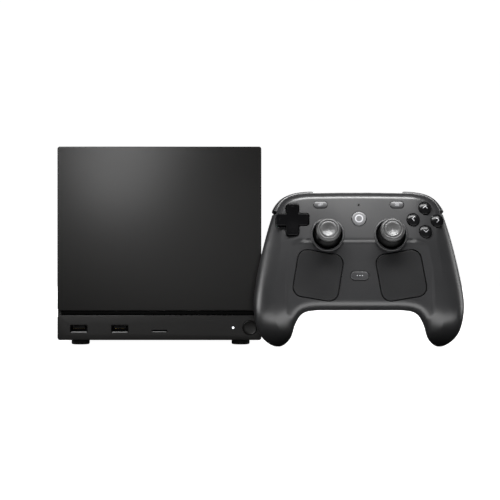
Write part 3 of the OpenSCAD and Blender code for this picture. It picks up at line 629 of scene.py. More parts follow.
# A light grey strip, a painted highlight on the lower lip of an opening.
def slot_highlight_lip(name, x, half_wide, low, high, edge):
    deep = (strip_low.y + 0.1 * MM, strip_low.y + 1 * MM)
    lip = spans(name, around(x, half_wide), deep, (low, high), edge=edge, axis=0, segments=2)
    return ship(lip, "console", lip_painted_highlight)


for i, x in enumerate(usb_middles):
    side = "left" if i == 0 else "right"
    shell = socket_shell(f"usb_shell_{side}", x, usb_z, USB_W, usb_h, usb_low.y - 0.4 * MM, 14 * MM)
    ship(shell, "console", socket_painted_shade, ["front_usb_ports"] if i == 0 else ())
    tongue_deep = (usb_low.y + 1 * MM, usb_high.y - 1.5 * MM)
    tongue_high = (usb_z, usb_z + 1.8 * MM)
    tongue = spans(
        f"usb_tongue_{side}", around(x, 4.8 * MM), tongue_deep, tongue_high, edge=0.2 * MM, axis=1
    )
    ship(tongue, "console", socket_painted_shade)
    floor = usb_z - usb_h / 2
    slot_highlight_lip(f"usb_highlight_lip_{side}", x, 5.9 * MM, floor - 0.15 * MM, floor + 0.60 * MM, 0.12 * MM)
    for k in range(4):
        contact = spans(
            f"usb_contact_{side}_{k}",
            around(x + (k - 1.5) * 2.2 * MM, 0.5 * MM),
            (usb_low.y + 1.6 * MM, usb_low.y + 9 * MM),
            (usb_z - 0.12 * MM, usb_z + 0.1 * MM),
            edge=0.05 * MM,
            axis=1,
            segments=1,
        )
        ship(contact, "console", contact_gold)
slot_highlight_lip("card_highlight_lip", card_x, 5.4 * MM, card_z - 0.80 * MM, card_z - 0.28 * MM, 0.1 * MM)

# %% [markdown]
# The light bar is a strip of smoked plastic set back in the groove, so it reads as a black line until
# it is lit. The power button is dished to guide a fingertip, with a rolled rim.

# %% Light bar, power button, lamp and feet
bar_low, bar_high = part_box("light_bar")
bar = block("bar", bar_low, bar_high, corner=0.6 * MM, edge=0.3 * MM, axis=1)
ship(bar, "console", smoked_plastic, ["light_bar"])

radius = 5.5 * MM
depth = button_high.y - button_low.y
button_profile = [(0, 0), (radius + 0.65 * MM, 0), (radius + 0.65 * MM, 1 * MM), (radius, 1 * MM)]
button_profile += [
    (radius - 0.5 * MM + 0.5 * MM * math.cos(t), depth - 0.5 * MM + 0.5 * MM * math.sin(t))
    for t in np.radians([0, 22, 45, 67, 90])
]
button_profile += [(radius * k, depth - 0.55 * MM * (1 - k * k)) for k in (0.86, 0.7, 0.5, 0.3, 0.15)]
button_profile.append((0, depth - 0.55 * MM))
button = turned("power_key", button_profile, 96)
moved(button, facing_front(power_x, power_z, button_high.y))
ship(button, "power_button", strip_plastic, ["power_button"])

lens_profile = [(0, 0), (0.75, 0), (0.75, 4.7), (0.6, 4.9), (0.3, 4.97), (0, 5)]
lens = turned("status_lamp", in_metres(lens_profile), 32)
moved(lens, facing_front(lens_x, power_z, lens_high.y))
ship(lens, "console", lamp_white, ["status_lens"])

feet_low, feet_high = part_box("feet")
foot_r = 7 * MM
foot_profile = [(0, 0), (foot_r - 1 * MM, 0), (foot_r - 0.3 * MM, 0.3 * MM), (foot_r, 1 * MM)]
foot_profile += [(foot_r, feet_high.z), (0, feet_high.z)]
first_foot = turned("foot", foot_profile, 64)
foot_rows = (feet_low.y + foot_r, feet_high.y - foot_r)
foot_places = [(x, y) for x in (feet_low.x + foot_r, feet_high.x - foot_r) for y in foot_rows]
for i, (x, y) in enumerate(foot_places):
    foot = copied(first_foot, f"foot_{i}", Matrix.Translation((x, y, 0)))
    ship(foot, "console", foot_rubber, ["feet"] if i == 0 else ())
bpy.data.objects.remove(first_foot)

# %% [markdown]
# ## The controller's skin
# The shells are freeform: no primitive comes close. The outline is a smooth curve through twenty
# points, and the skin over it is an arch that rises from the parting line, levels out on the face and
# drops a step where the touch pads sit. Points are laid on ribs that run from the outside of the grip
# to the inside, which keeps every face small where the skin bends most.

# %% Outline and height of the skin, in millimetres
RIM = [(0, 23.5), (24, 23.3), (44, 22.6), (56, 19.2), (63, 12), (66.5, 2), (70, -10)]
RIM += [(74, -26), (77.5, -44), (79.3, -60), (78, -74), (74, -84), (66, -90.5), (58, -91.5)]
RIM += [(51.5, -86.5), (48, -77), (43, -70), (34, -67.5), (16, -67.3), (0, -67.3)]
LAST, WIDEST = len(RIM) - 1, 9
RECESS_X, RECESS_Y, RECESS_R, RECESS_TILT = 56, -16, 12, 6
controls = [(-x, y) for x, y in RIM[2:0:-1]] + RIM + [(-x, y) for x, y in RIM[-2:-4:-1]]
controls = np.array(controls, float)


def ease(a, b, x):
    t = np.clip((np.asarray(x, float) - a) / (b - a), 0, 1)
    return t * t * (3 - 2 * t)


def rim_at(t):
    t = np.asarray(t, float)
    i = np.floor(t).astype(int)
    f = (t - i)[..., None]
    a, b, c, d = (controls[i + k] for k in (1, 2, 3, 4))
    bend = (2 * a - 5 * b + 4 * c - d) * f**2 + (3 * b - a - 3 * c + d) * f**3
    return 0.5 * (2 * b + (c - a) * f + bend)


def rim_normal(t):
    run = rim_at(t + 0.02) - rim_at(t - 0.02)
    return np.stack([-run[..., 1], run[..., 0]], -1) / np.linalg.norm(run, axis=-1, keepdims=True)


def rim_inset(t, gap):
    return rim_at(t) - gap * rim_normal(t)


def rim_line(gap):
    return rim_inset(np.linspace(0, LAST, 8 * LAST + 1), gap)


def depth_in(points, line):
    a, run = line[:-1], line[1:] - line[:-1]
    share = np.clip(((points[:, None] - a) * run).sum(-1) / (run * run).sum(-1), 0, 1)
    return np.linalg.norm(points[:, None] - a - share[..., None] * run, axis=-1).min(1)


def recess_plane(y):
    return -1.8 + (y + 18) * math.tan(math.radians(RECESS_TILT))


def grip_face(x, y):
    return -5 * ease(38, 72, x) + 0.06 * np.minimum(0, y + 16) - 0.012 * np.minimum(0, y + 60) ** 2


def face_at(x, y):
    x = np.abs(x)
    high = grip_face(x, y)
    a, b = x - RECESS_X + RECESS_R, y - RECESS_Y + RECESS_R
    inside = RECESS_R - np.where((a > 0) & (b > 0), np.hypot(a, b), np.maximum(a, b))
    return high + (np.minimum(high, recess_plane(y)) - high) * ease(0, 2.5, inside)


def back_at(x, y):
    return -23 - 12 * ease(38, 64, np.abs(x)) * ease(8, -45, y) - 0.15 * np.maximum(0, -60 - y)


def edge_at(x, y):
    return 0.55 * grip_face(np.abs(x), y) + 0.45 * back_at(x, y)


def roll_at(x, y):
    """How far in from the rim the skin goes on rolling over."""
    return 7.5 + 9 * ease(46, 64, np.abs(x)) * ease(8, -22, y)


def skin_height(p, gap, line, side):
    x, y = p[:, 0], p[:, 1]
    edge = edge_at(x, y)
    roll = roll_at(x, y) + (0 if side > 0 else 3) - gap
    top = face_at(x, y) - gap if side > 0 else back_at(x, y) + gap
    d = np.minimum(depth_in(p, line) / roll, 1)
    return edge + (top - edge) * np.sqrt(np.maximum(0, 1 - (1 - d) ** 2))


print("outline width", round(2 * rim_at(np.linspace(0, LAST, 400))[:, 0].max(), 1), "mm")


# %% [markdown]
# The ribs are filled with points and closed into a skin, once for the front and once for the back.

# %% Laying the skin on its ribs
def skin(gap, side, stations, ribs):
    """Points of one skin over the whole width and its faces, seen from the face side."""
    line = rim_line(gap)
    share = np.arange(ribs + 1) / ribs
    share = 0.8 * (0.5 - 0.5 * np.cos(np.pi * share)) + 0.2 * share
    t = np.arange(stations + 1) / stations
    outer = rim_inset(WIDEST * t, gap)
    inner = rim_inset(LAST - (LAST - WIDEST) * t, gap)
    flat = inner[:, None] + (outer - inner)[:, None] * share[None, :, None]
    flat = flat.reshape(-1, 2)
    z = skin_height(flat, gap, line, side).reshape(stations + 1, ribs + 1)
    on_rim = edge_at(flat[:, 0], flat[:, 1]).reshape(z.shape)
    z[:, [0, -1]] = on_rim[:, [0, -1]]
    z[-1] = on_rim[-1]
    half = np.column_stack([flat, z.reshape(-1)])
    row, centre = ribs + 1, 2 * stations + 1
    grid = np.zeros((centre, row, 3))
    grid[stations:] = half.reshape(stations + 1, row, 3)
    grid[:stations] = grid[:stations:-1] * (-1, 1, 1)
    index = lambda k, j: k * row + j
    faces = [
        (index(k, j), index(k, j + 1), index(k + 1, j + 1), index(k + 1, j))
        for k in range(centre - 1)
        for j in range(ribs)
    ]
    ends = [[index(k, j) for k in range(centre)] for j in (0, ribs)]
    return grid.reshape(-1, 3), faces, ends


def closed_skin(name, outer, inner, turn_inner=True):
    """Joins two skins along both of their long edges into one closed piece, in metres."""
    points = np.vstack([outer[0], inner[0]]) * MM
    n = len(outer[0])
    faces = list(outer[1]) + [tuple(i + n for i in reversed(f)) for f in inner[1]]
    for own, other in zip(outer[2], inner[2]):
        faces += [(own[k], own[k + 1], other[k + 1] + n, other[k] + n) for k in range(len(own) - 1)]
    piece = new_piece(name, points.tolist(), faces=faces)
    bpy.ops.object.mode_set(mode="EDIT")
    bpy.ops.mesh.select_all(action="SELECT")
    bpy.ops.mesh.remove_doubles(threshold=2e-6)
    bpy.ops.mesh.dissolve_degenerate(threshold=1e-7)
    bpy.ops.mesh.normals_make_consistent(inside=False)
    bpy.ops.object.mode_set(mode="OBJECT")
    return piece


def half_shell(name, side, stations, ribs):
    return closed_skin(name, skin(0, side, stations, ribs), skin(2, side, stations, 26))


def whole_body(name, gap, stations=60, ribs=60):
    return closed_skin(name, skin(gap, 1, stations, ribs), skin(gap, -1, stations, ribs))


# %% [markdown]
# Every control has an opening in the front shell. The cutters are made where the controls are, in the
# controller's own frame, and cut in one go each.

# %% Places of the controls, in millimetres
CLUSTER_X, CLUSTER_Y = 50.0, -0.4
FACE_PLACES = {"top": (0, 9.2), "right": (9.2, -0.2), "bottom": (0, -9.2), "left": (-9.2, -0.2)}
DPAD_SPAN, DPAD_ARM = 24.6, 9.4
FACE_D, CAP_R, STICK_HOLE = 9.7, 9.1, 11.2
SMALL_KEY, SMALL_KEY_AT = (10.2, 5.0), (28.8, 11.0)
QUICK_KEY, QUICK_Y = (13.6, 6.2), -43.1
TOUCH, TOUCH_R, TOUCH_AT, TOUCH_TURN = (33.6, 35.2), 7.0, (31.1, -42.8), 9.5


def at(x, y, z=0.0):
    return Matrix.Translation((x * MM, y * MM, z * MM))


def recess_frame(x, y, turn=0.0):
    tilt = Matrix.Rotation(math.radians(RECESS_TILT), 4, "X")
    return at(x, y, float(recess_plane(y))) @ tilt @ Matrix.Rotation(math.radians(turn), 4, "Z")


def touch_frame(side):
    return recess_frame(side * TOUCH_AT[0], TOUCH_AT[1], side * TOUCH_TURN)


def cross_outline(span, arm, outer, inner, steps=6):
    """A plus sign with rounded outer and inner corners, in millimetres."""
    s, a = span / 2, arm / 2
    points = []
    for k in range(4):
        c, n = round(math.cos(k * math.pi / 2)), round(math.sin(k * math.pi / 2))
        arcs = [((s - outer, -a + outer), outer, -90, 0), ((s - outer, a - outer), outer, 0, 90)]
        arcs.append(((a + inner, a + inner), inner, 270, 180))
        for (x, y), r, start, stop in arcs:
            for turn in np.radians(np.linspace(start, stop, steps + 1)):
                px, py = x + r * math.cos(turn), y + r * math.sin(turn)
                points.append((c * px - n * py, n * px + c * py))
    return points


def outline_mm(width, height, radius, steps=8):
    return in_metres(rounded_outline(width, height, radius, steps))


def round_cutter(x, y, radius, low, high):
    put_down()
    bpy.ops.mesh.primitive_cylinder_add(
        vertices=80,
        radius=radius * MM,
        depth=(high - low) * MM,
        location=(x * MM, y * MM, (low + high) / 2 * MM),
    )
    bpy.ops.object.transform_apply(location=True, rotation=True, scale=True)
    return bpy.context.active_object


def key_hole(size):
    outline = outline_mm(size[0] + 0.7, size[1] + 0.7, size[1] / 2 + 0.34)
    return extruded("cutter", outline, -9 * MM, 4 * MM)


# %% [markdown]
# The front shell is the front skin with a hole cut for every control that comes through it.

# %% Front shell of the controller
front_shell = half_shell("pad_shell_front", 1, 110, 120)
cross_hole = in_metres(cross_outline(DPAD_SPAN + 1.1, DPAD_ARM + 1.1, 2.45, 0.3))
cutters = [moved(extruded("cutter", cross_hole, -12 * MM, 4 * MM), at(-CLUSTER_X, CLUSTER_Y))]
for dx, dy in FACE_PLACES.values():
    cutters.append(round_cutter(CLUSTER_X + dx, CLUSTER_Y + dy, FACE_D / 2 + 0.35, -14, 6))
cutters.append(round_cutter(0, 0, 5.75, -6, 6))
cutters.append(round_cutter(0, SMALL_KEY_AT[1], 0.85, -6, 6))
cutters.append(moved(key_hole(QUICK_KEY), recess_frame(0, QUICK_Y)))
for side in (-1, 1):
    cutters.append(round_cutter(side * STICK_X, STICK_Y, STICK_HOLE, -8, 8))
    cutters.append(moved(key_hole(SMALL_KEY), at(side * SMALL_KEY_AT[0], SMALL_KEY_AT[1])))
    touch_outline = outline_mm(TOUCH[0] + 1.6, TOUCH[1] + 1.6, TOUCH_R + 0.8)
    touch_hole = extruded("cutter", touch_outline, -9 * MM, 5 * MM)
    cutters.append(moved(touch_hole, touch_frame(side)))
    low, high = sorted((side * (33 - 0.5) * MM, side * 90 * MM))
    cutters.append(block("cutter", (low, 6 * MM, -16 * MM), (high, 40 * MM, -5.5 * MM)))
put_down()
for tool in cutters:
    tool.select_set(True)
bpy.context.view_layer.objects.active = cutters[0]
bpy.ops.object.join()
cut(front_shell, cutters[0])
moved(front_shell, PAD)
ship(front_shell, "controller", shell_plastic, ["pad_front_shell"], angle=28)

# %% [markdown]
# The rim of each stick hole is a fine ring that stands just proud of the shell. It is turned, with a
# rounded crest, because that crest is what draws the thin circle of light round the stick.

# %% Stick collars
collar_r, collar_top = STICK_HOLE + 1.7, 0.7
collar_profile = [(STICK_HOLE, -3.4), (collar_r, -3.4), (collar_r, collar_top - 0.6)]
collar_profile += [
    (collar_r - 0.6 + 0.6 * math.cos(t), collar_top - 0.6 + 0.6 * math.sin(t))
    for t in np.radians([30, 60, 90])
]
collar_profile += [
    (STICK_HOLE + 0.5 - 0.5 * math.sin(t), collar_top - 0.5 + 0.5 * math.cos(t))
    for t in np.radians([0, 30, 60, 90])
]
collar_profile.append(collar_profile[0])
for side, word in ((-1, "left"), (1, "right")):
    collar = turned(f"collar_{word}", in_metres(collar_profile), 120)
    moved(collar, PAD @ at(side * STICK_X, STICK_Y))
    ship(collar, "controller", shell_plastic)

# %% [markdown]
# The rear shell has the same outline with a rounder back and longer handles. Wells for the triggers
# are boxed in, so nobody looks past a trigger into the circuit board.


# %% Rear shell of the controller
def trigger_frame():
    return at(35, 17.6, -20.2) @ Matrix.Rotation(math.radians(-12), 4, "Z")


TRIGGER_W = 25
SEAM = 0.12
PADDLES = {"upper": (56, -20), "lower": (60, -46)}
PADDLE_TURN = math.radians(-4)


def trigger_well(g):
    low = ((-0.8 - g) * MM, (-12.5 - g) * MM, -40 * MM)
    high = ((TRIGGER_W + 0.8 + g) * MM, 20 * MM, (5 + g) * MM)
    return moved(block("well", low, high), trigger_frame())


def on_both_sides(make):
    piece = make()
    return piece, copied(piece, "cutter", MIRROR)


def paddle_frame(place):
    return at(place[0], place[1]) @ Matrix.Rotation(PADDLE_TURN, 4, "Z")


def paddle_hole(place):
    hole = extruded("cutter", outline_mm(10.5 + 0.7, 21 + 0.7, 5.25), -60 * MM, -18 * MM)
    return moved(hole, paddle_frame(place))


def bumper_hole():
    return block("cutter", ((33 - 0.5) * MM, 6 * MM, -16 * MM), (90 * MM, 40 * MM, -5.5 * MM))


def screw_well(x, y, top):
    return round_cutter(x, y, 2.6, -60, top)


def joined(tools):
    put_down()
    for tool in tools:
        tool.select_set(True)
    bpy.context.view_layer.objects.active = tools[0]
    bpy.ops.object.join()
    return tools[0]


rear_shell = half_shell("pad_shell_rear", -1, 90, 90)
moved(rear_shell, at(0, 0, -SEAM))
wells = []
for tool in on_both_sides(lambda: trigger_well(1.5)):
    inner = moved(whole_body("inner", 0.6), at(0, 0, -SEAM))
    kept = block("low", (-90 * MM, -20 * MM, -40 * MM), (90 * MM, 40 * MM, -16 * MM))
    cut(inner, kept, keep="INTERSECT")
    wells.append(cut(inner, tool, keep="INTERSECT"))
cut(rear_shell, *wells, keep="UNION")
cut(rear_shell, joined(on_both_sides(lambda: trigger_well(0))))
cut(rear_shell, joined(on_both_sides(bumper_hole)))
for place in ((16, 15.6, -17.9), (60, -66, -29.9)):
    cut(rear_shell, joined(on_both_sides(lambda: screw_well(*place))))
for place in PADDLES.values():
    cut(rear_shell, joined(on_both_sides(lambda: paddle_hole(place))))
port_hole = extruded("cutter", outline_mm(10.2, 4.2, 2.05), 0, 14 * MM)
cut(rear_shell, moved(port_hole, at(0, 30, -14.2) @ Matrix.Rotation(math.radians(90), 4, "X")))
moved(rear_shell, PAD)
for vertex in rear_shell.data.vertices:
    vertex.co.z = max(vertex.co.z, 0)
ship(rear_shell, "controller", shell_plastic, ["pad_rear_shell"], angle=28)

# %% [markdown]
# Keys are made alike: loops of the key's outline are stacked up the post, over a rolled edge and on
# towards the middle of the top, and joined one to the next. Because each loop is a true offset of
# the outline, the roll keeps the same radius all the way round.


# %% How a key is formed
def lofted(name, loops):
    """Joins loops of points, in millimetres, into one closed piece with a face at either end."""
    grid = np.array(loops)
    rows, count = grid.shape[:2]
    index = np.arange(rows * count).reshape(rows, count)
    after = np.roll(index, -1, axis=1)
    faces = np.stack([index[:-1], after[:-1], after[1:], index[1:]], -1).reshape(-1, 4).tolist()
    faces += [index[0].tolist(), index[-1].tolist()]
    piece = new_piece(name, (grid.reshape(-1, 3) * MM).tolist(), faces=faces)
    bpy.ops.object.mode_set(mode="EDIT")
    bpy.ops.mesh.select_all(action="SELECT")
    bpy.ops.mesh.normals_make_consistent(inside=False)
    bpy.ops.object.mode_set(mode="OBJECT")
    return piece


def loop_at(outline, height):
    flat = np.array(outline)
    return np.column_stack([flat, np.broadcast_to(height, len(flat))])


def pressed(name, outline, low, high, roll=0.4, crown=(), steps=5, foot=None):
    """A key from its outline(grow); crown lists (inset, rise) steps after the rolled edge."""
    loops = []
    if foot:
        loops += [loop_at(outline(foot[0]), low), loop_at(outline(foot[0]), low + foot[1])]
        low += foot[1]
    loops.append(loop_at(outline(0), low))
    for turn in np.radians(np.linspace(0, 90, steps + 1)):
        inward, height = roll * (1 - math.cos(turn)), high - roll + roll * math.sin(turn)
        loops.append(loop_at(outline(-inward), height))
    for step, rise in crown:
        inward, height = inward + step, height + rise
        loops.append(loop_at(outline(-inward), height))
    return lofted(name, loops)


def stadium(width, height, radius=None):
    radius = height / 2 - 0.05 if radius is None else radius
    return lambda grow: rounded_outline(width + 2 * grow, height + 2 * grow, radius + grow, 12)


def inlaid(name, outline, low, high, frame, body):
    """A thin printed mark, standing a few hundredths of a millimetre proud of its key."""
    piece = moved(extruded(name, outline, low * MM, high * MM), PAD @ frame)
    return ship(piece, body, mark_grey)


def bar_outline(x0, y0, x1, y1, thick):
    a, b = Vector((x0, y0)), Vector((x1, y1))
    n = (b - a).normalized().orthogonal() * thick / 2
    return [((p + s * n).x * MM, (p + s * n).y * MM) for p, s in ((a, 1), (b, 1), (b, -1), (a, -1))]


# %% [markdown]
# The two small keys and the quick key are rounded bars with inlaid marks. The home key is turned and
# carries a plain ring.

# %% Small keys: view, menu, quick and home
small_crown = [(0.5, 0.06), (0.5, 0.04), (0.5, 0.02)]
quick_crown = [(0.6, 0.06), (0.6, 0.04), (0.6, 0.02)]
MARK_LOW, MARK_HIGH = 0.7, 0.935
for side, word in ((-1, "view"), (1, "menu")):
    frame_here = at(side * SMALL_KEY_AT[0], SMALL_KEY_AT[1])
    key = pressed(f"{word}_key", stadium(*SMALL_KEY), -3.4, 0.78, 0.45, small_crown, foot=(0.8, 1))
    moved(key, PAD @ frame_here)
    ship(key, f"{word}_button", key_plastic, [f"{word}_button"], angle=60)
    if word == "menu":
        for i in (-1, 0, 1):
            line = bar_outline(-1.5, i * 0.85, 1.5, i * 0.85, 0.28)
            inlaid(f"menu_line_{i + 1}", line, MARK_LOW, MARK_HIGH, frame_here, "menu_button")
    else:
        for i, (x, y) in enumerate(((-0.5, -0.35), (0.5, 0.35))):
            window = [bar_outline(x - 0.9, y + s * 0.6, x + 0.9, y + s * 0.6, 0.22) for s in (-1, 1)]
            window += [bar_outline(x + s * 0.9, y - 0.7, x + s * 0.9, y + 0.7, 0.22) for s in (-1, 1)]
            for k, outline in enumerate(window):
                name = f"view_mark_{i}_{k}"
                inlaid(name, outline, MARK_LOW, MARK_HIGH, frame_here, "view_button")

quick = pressed("quick_key", stadium(*QUICK_KEY), -3.4, 0.78, 0.5, quick_crown, foot=(0.8, 1))
moved(quick, PAD @ recess_frame(0, QUICK_Y))
ship(quick, "quick_button", key_plastic, ["quick_button"], angle=60)
dot_profile = [(0, 0.7), (0.42, 0.7), (0.42, 0.93), (0, 0.94)]
for i in (-1, 0, 1):
    dot = turned(f"quick_dot_{i + 1}", in_metres(dot_profile), 24)
    moved(dot, PAD @ recess_frame(0, QUICK_Y) @ at(i * 1.9, 0))
    ship(dot, "quick_button", mark_grey)

home_profile = [(0, -3.4), (6.3, -3.4), (6.3, -2.4), (5.4, -2.4), (5.4, 0.35)]
home_profile += [(4.9 + 0.5 * math.cos(t), 0.35 + 0.5 * math.sin(t)) for t in np.radians([20, 40, 60, 80])]
home_profile += [(4.4, 0.86), (3.2, 0.89), (1.6, 0.9), (0, 0.9)]
home = turned("home_key", in_metres(home_profile), 96)
ship(moved(home, PAD), "home_button", home_plastic, ["home_button"], angle=60)
ring_profile = [(2.2, 0.7), (3.1, 0.7), (3.1, 0.925), (2.2, 0.935), (2.2, 0.7)]
ring = turned("home_ring", in_metres(ring_profile), 72)
ship(moved(ring, PAD), "home_button", mark_grey)

# %% [markdown]
# The touch pads sit almost flush in rounded square openings with a black gap all round. The upper
# edge is rolled over before the flat begins, so that it takes the light as a fine line.

# %% Touch pads
for side, word in ((-1, "left"), (1, "right")):
    hollow = [(0.6, -0.03), (1.5, -0.03)]
    outline = stadium(*TOUCH, TOUCH_R)
    surface = pressed(f"{word}_pad_surface", outline, -3.7, 0.35, 0.45, hollow, foot=(1.2, 0.8))
    moved(surface, PAD @ touch_frame(side))
    ship(surface, f"{word}_touch_pad", touch_plastic, [f"{word}_touch_pad"], angle=50)

# %% [markdown]
# The directional pad is gloss black. Its arms keep a flat shoulder and sink towards the centre where
# the thumb rests. Rolled edges carry the highlights, so they are generous.

# %% Directional pad
DPAD_PIVOT = float(face_at(CLUSTER_X, CLUSTER_Y)) - 3.6


def dished(points):
    reach = np.hypot(*np.array(points).T)
    return 5.2 + 0.8 * ease(0, 12.3, reach)


def cross_at(inward, drop):
    points = cross_outline(DPAD_SPAN - 2 * inward, DPAD_ARM - 2 * inward, 1.9 - inward, 0.7 + inward)
    return loop_at(points, dished(points) - drop)


ROLL = 0.8
edge_loops = [
    cross_at(ROLL * (1 - math.cos(t)), ROLL * (1 - math.sin(t)))
    for t in np.radians(np.linspace(0, 90, 8))
]
shoulder = edge_loops[-1][:, :2]
top_loops = [loop_at(shoulder * k, dished(shoulder * k)) for k in np.linspace(0.97, 0.05, 14)]
base_loop = loop_at(edge_loops[0][:, :2], 0.2)
cross = lofted("dpad_top", [base_loop] + edge_loops + top_loops)
socket = block("socket", (-3.7 * MM, -3.7 * MM, -1 * MM), (3.7 * MM, 3.7 * MM, 2 * MM))
cut(cross, socket)
moved(cross, PAD @ at(-CLUSTER_X, CLUSTER_Y, DPAD_PIVOT))
ship(cross, "dpad_cross", dpad_plastic, ["dpad_cross"], angle=40)
arrow_outline = in_metres([(-1.2, 9.4), (1.2, 9.4), (0.0, 10.7)])
for k in range(4):
    arrow_turn = Matrix.Rotation(math.radians(90 * k), 4, "Z")
    arrow = extruded(f"dpad_arrow_{k}", arrow_outline, 5.7 * MM, 6.03 * MM)
    moved(arrow, PAD @ at(-CLUSTER_X, CLUSTER_Y, DPAD_PIVOT) @ arrow_turn)
    ship(arrow, "dpad_cross", smoked_plastic)

# %% [markdown]
# Each face button is a short glossy post with a shallow dome. The chevrons on top are cut from
# a thin shell of the same dome, which makes them follow it exactly; each points away from the centre.

# %% Face buttons
DOME_R, DOME_TOP = 9.6, 2.3
half = FACE_D / 2
rim_z = DOME_TOP - DOME_R + math.sqrt(DOME_R**2 - half**2)
face_profile = [(0, -5), (2, -5), (2, -4.2), (half, -4.2), (half, rim_z - 0.25)]
face_profile += [(half - 0.07, rim_z - 0.05), (half - 0.22, rim_z + 0.10)]
for share in (0.9, 0.8, 0.68, 0.55, 0.42, 0.28, 0.14, 0):
    r = half * share
    face_profile.append((r, DOME_TOP - DOME_R + math.sqrt(DOME_R**2 - r * r)))
CHEVRON = [(-1.7, -0.9), (0, 0.8), (1.7, -0.9), (1.7, -0.35), (0, 1.35), (-1.7, -0.35)]
CHEVRON_TURN = {"top": 0, "right": -90, "bottom": 180, "left": 90}
for word, (dx, dy) in FACE_PLACES.items():
    x, y = CLUSTER_X + dx, CLUSTER_Y + dy
    place = PAD @ at(x, y, float(face_at(x, y)))
    button = turned(f"{word}_key", in_metres(face_profile), 96)
    moved(button, place)
    ship(button, f"face_{word}", gloss_plastic, [f"face_{word}"], angle=50)
    chevron = extruded("chevron", in_metres(CHEVRON), 0, 4 * MM)
    put_down()
    bpy.ops.mesh.primitive_uv_sphere_add(
        segments=128,
        ring_count=96,
        radius=(DOME_R + 0.04) * MM,
        location=(0, 0, (DOME_TOP - DOME_R) * MM),
    )
    bpy.ops.object.transform_apply(location=True)
    cut(chevron, bpy.context.active_object, keep="INTERSECT")
    chevron.name = f"{word}_chevron"
    moved(chevron, place @ Matrix.Rotation(math.radians(CHEVRON_TURN[word]), 4, "Z"))
    ship(chevron, f"face_{word}", mark_grey)

# %% [markdown]
# A stick is three materials: a grippy rim with fine ribs, a smoother dish that the thumb rests on,
# and the dark ball-shaped skirt over the gimbal. With the stick tilted and pressed fully, the skirt
# doesn't cover the hole and a gap opens on the far side.

# %% Sticks
rise = 14.5 - STICK_PIVOT
cap = [(0, 0), (2, 0), (2, 6.5), (4.6, 7.6), (5, rise - 6.2), (5.6, rise - 5.5), (CAP_R - 1.6, rise - 4.8)]
RIM_STEPS = [(0.5, 3.9), (0.1, 3.0), (0, 2.2), (0.15, 1.4), (0.6, 0.6), (1.2, 0.12), (1.9, 0)]
RIM_STEPS += [(2.5, 0.15), (2.8, 0.45), (3.0, 0.9), (3.1, 1.3)]
cap += [(CAP_R - inward, rise - below) for inward, below in RIM_STEPS] + [(0, rise - 1.5)]
dish = [(0, rise - 1.48), (CAP_R - 2.75, rise - 1.28), (CAP_R - 2.75, rise - 0.5)]
dish += [(CAP_R - 3.0, rise - 0.36), (4.6, rise - 0.62), (2.8, rise - 0.95), (1.2, rise - 1.22)]
dish += [(0.5, rise - 1.28), (0, rise - 1.3)]
skirt = [(10.9 * math.sin(a), 10.9 * math.cos(a)) for a in np.radians(range(20, 77, 4))]
skirt += [(9.9 * math.sin(a), 9.9 * math.cos(a)) for a in np.radians(range(76, 19, -4))]
skirt.append(skirt[0])
for side, word in ((-1, "left"), (1, "right")):
    place = PAD @ at(side * STICK_X, STICK_Y, STICK_PIVOT)
    parts = (("cap", cap, stick_rubber), ("dish", dish, stick_dish), ("skirt", skirt, smoked_plastic))
    for title, profile, material in parts:
        piece = turned(f"{word}_stick_{title}", in_metres(profile), 120)
        rings = piece.data.uv_layers.new(name="rings")
        for loop in piece.data.loops:
            x, y = piece.data.vertices[loop.vertex_index].co.xy
            rings.data[loop.index].uv = (math.hypot(x, y), math.atan2(y, x) / math.tau)
        moved(piece, place)
        replaced = [f"{word}_stick"] if title == "cap" else ()
        ship(piece, f"{word}_stick", material, replaced, angle=50)
    rib_low = ((CAP_R - 0.25) * MM, -0.16 * MM, (rise - 3.1) * MM)
    rib_high = ((CAP_R + 0.07) * MM, 0.16 * MM, (rise - 1.5) * MM)
    ribs = [block("rib", rib_low, rib_high, edge=0.06 * MM, axis=0, segments=1)]
    for k in range(1, 60):
        ribs.append(copied(ribs[0], "rib", Matrix.Rotation(2 * math.pi * k / 60, 4, "Z")))
    grip = moved(joined(ribs), place)
    grip.name = f"{word}_stick_ribs"
    ship(grip, f"{word}_stick", stick_rubber)

# %% [markdown]
# The bumpers follow the skin of the shell a millimetre proud of it. Each section is a band between
# two heights, rolled over along both long edges; the sections march along the outline and are joined
# into one closed piece, mirrored for the other hand.


# %% Bumpers
def band_point(t, height, proud):
    """A point at a height on the outer skin, pushed proud of it, near the rim position t."""
    t, height = np.broadcast_arrays(np.asarray(t, float), np.asarray(height, float))
    normal = rim_normal(t)
    inward = np.zeros(t.shape)
    for _ in range(6):
        p = rim_at(t) - inward[..., None] * normal
        x, y = p[..., 0], p[..., 1]
        e = edge_at(x, y)
        front = height > e
        top = np.where(front, face_at(x, y) + proud, back_at(x, y) - proud)
        roll = roll_at(x, y) + np.where(front, 0, 3) + proud
        share = np.clip((height - e) / (top - e), 0, 0.999)
        inward = roll * (1 - np.sqrt(1 - share**2)) - proud
    p = rim_at(t) - inward[..., None] * normal
    return np.concatenate([p, height[..., None]], -1)


def rolled_share(d, radius):
    return math.sqrt(max(0.0, 1 - (1 - min(d, radius) / radius) ** 2))


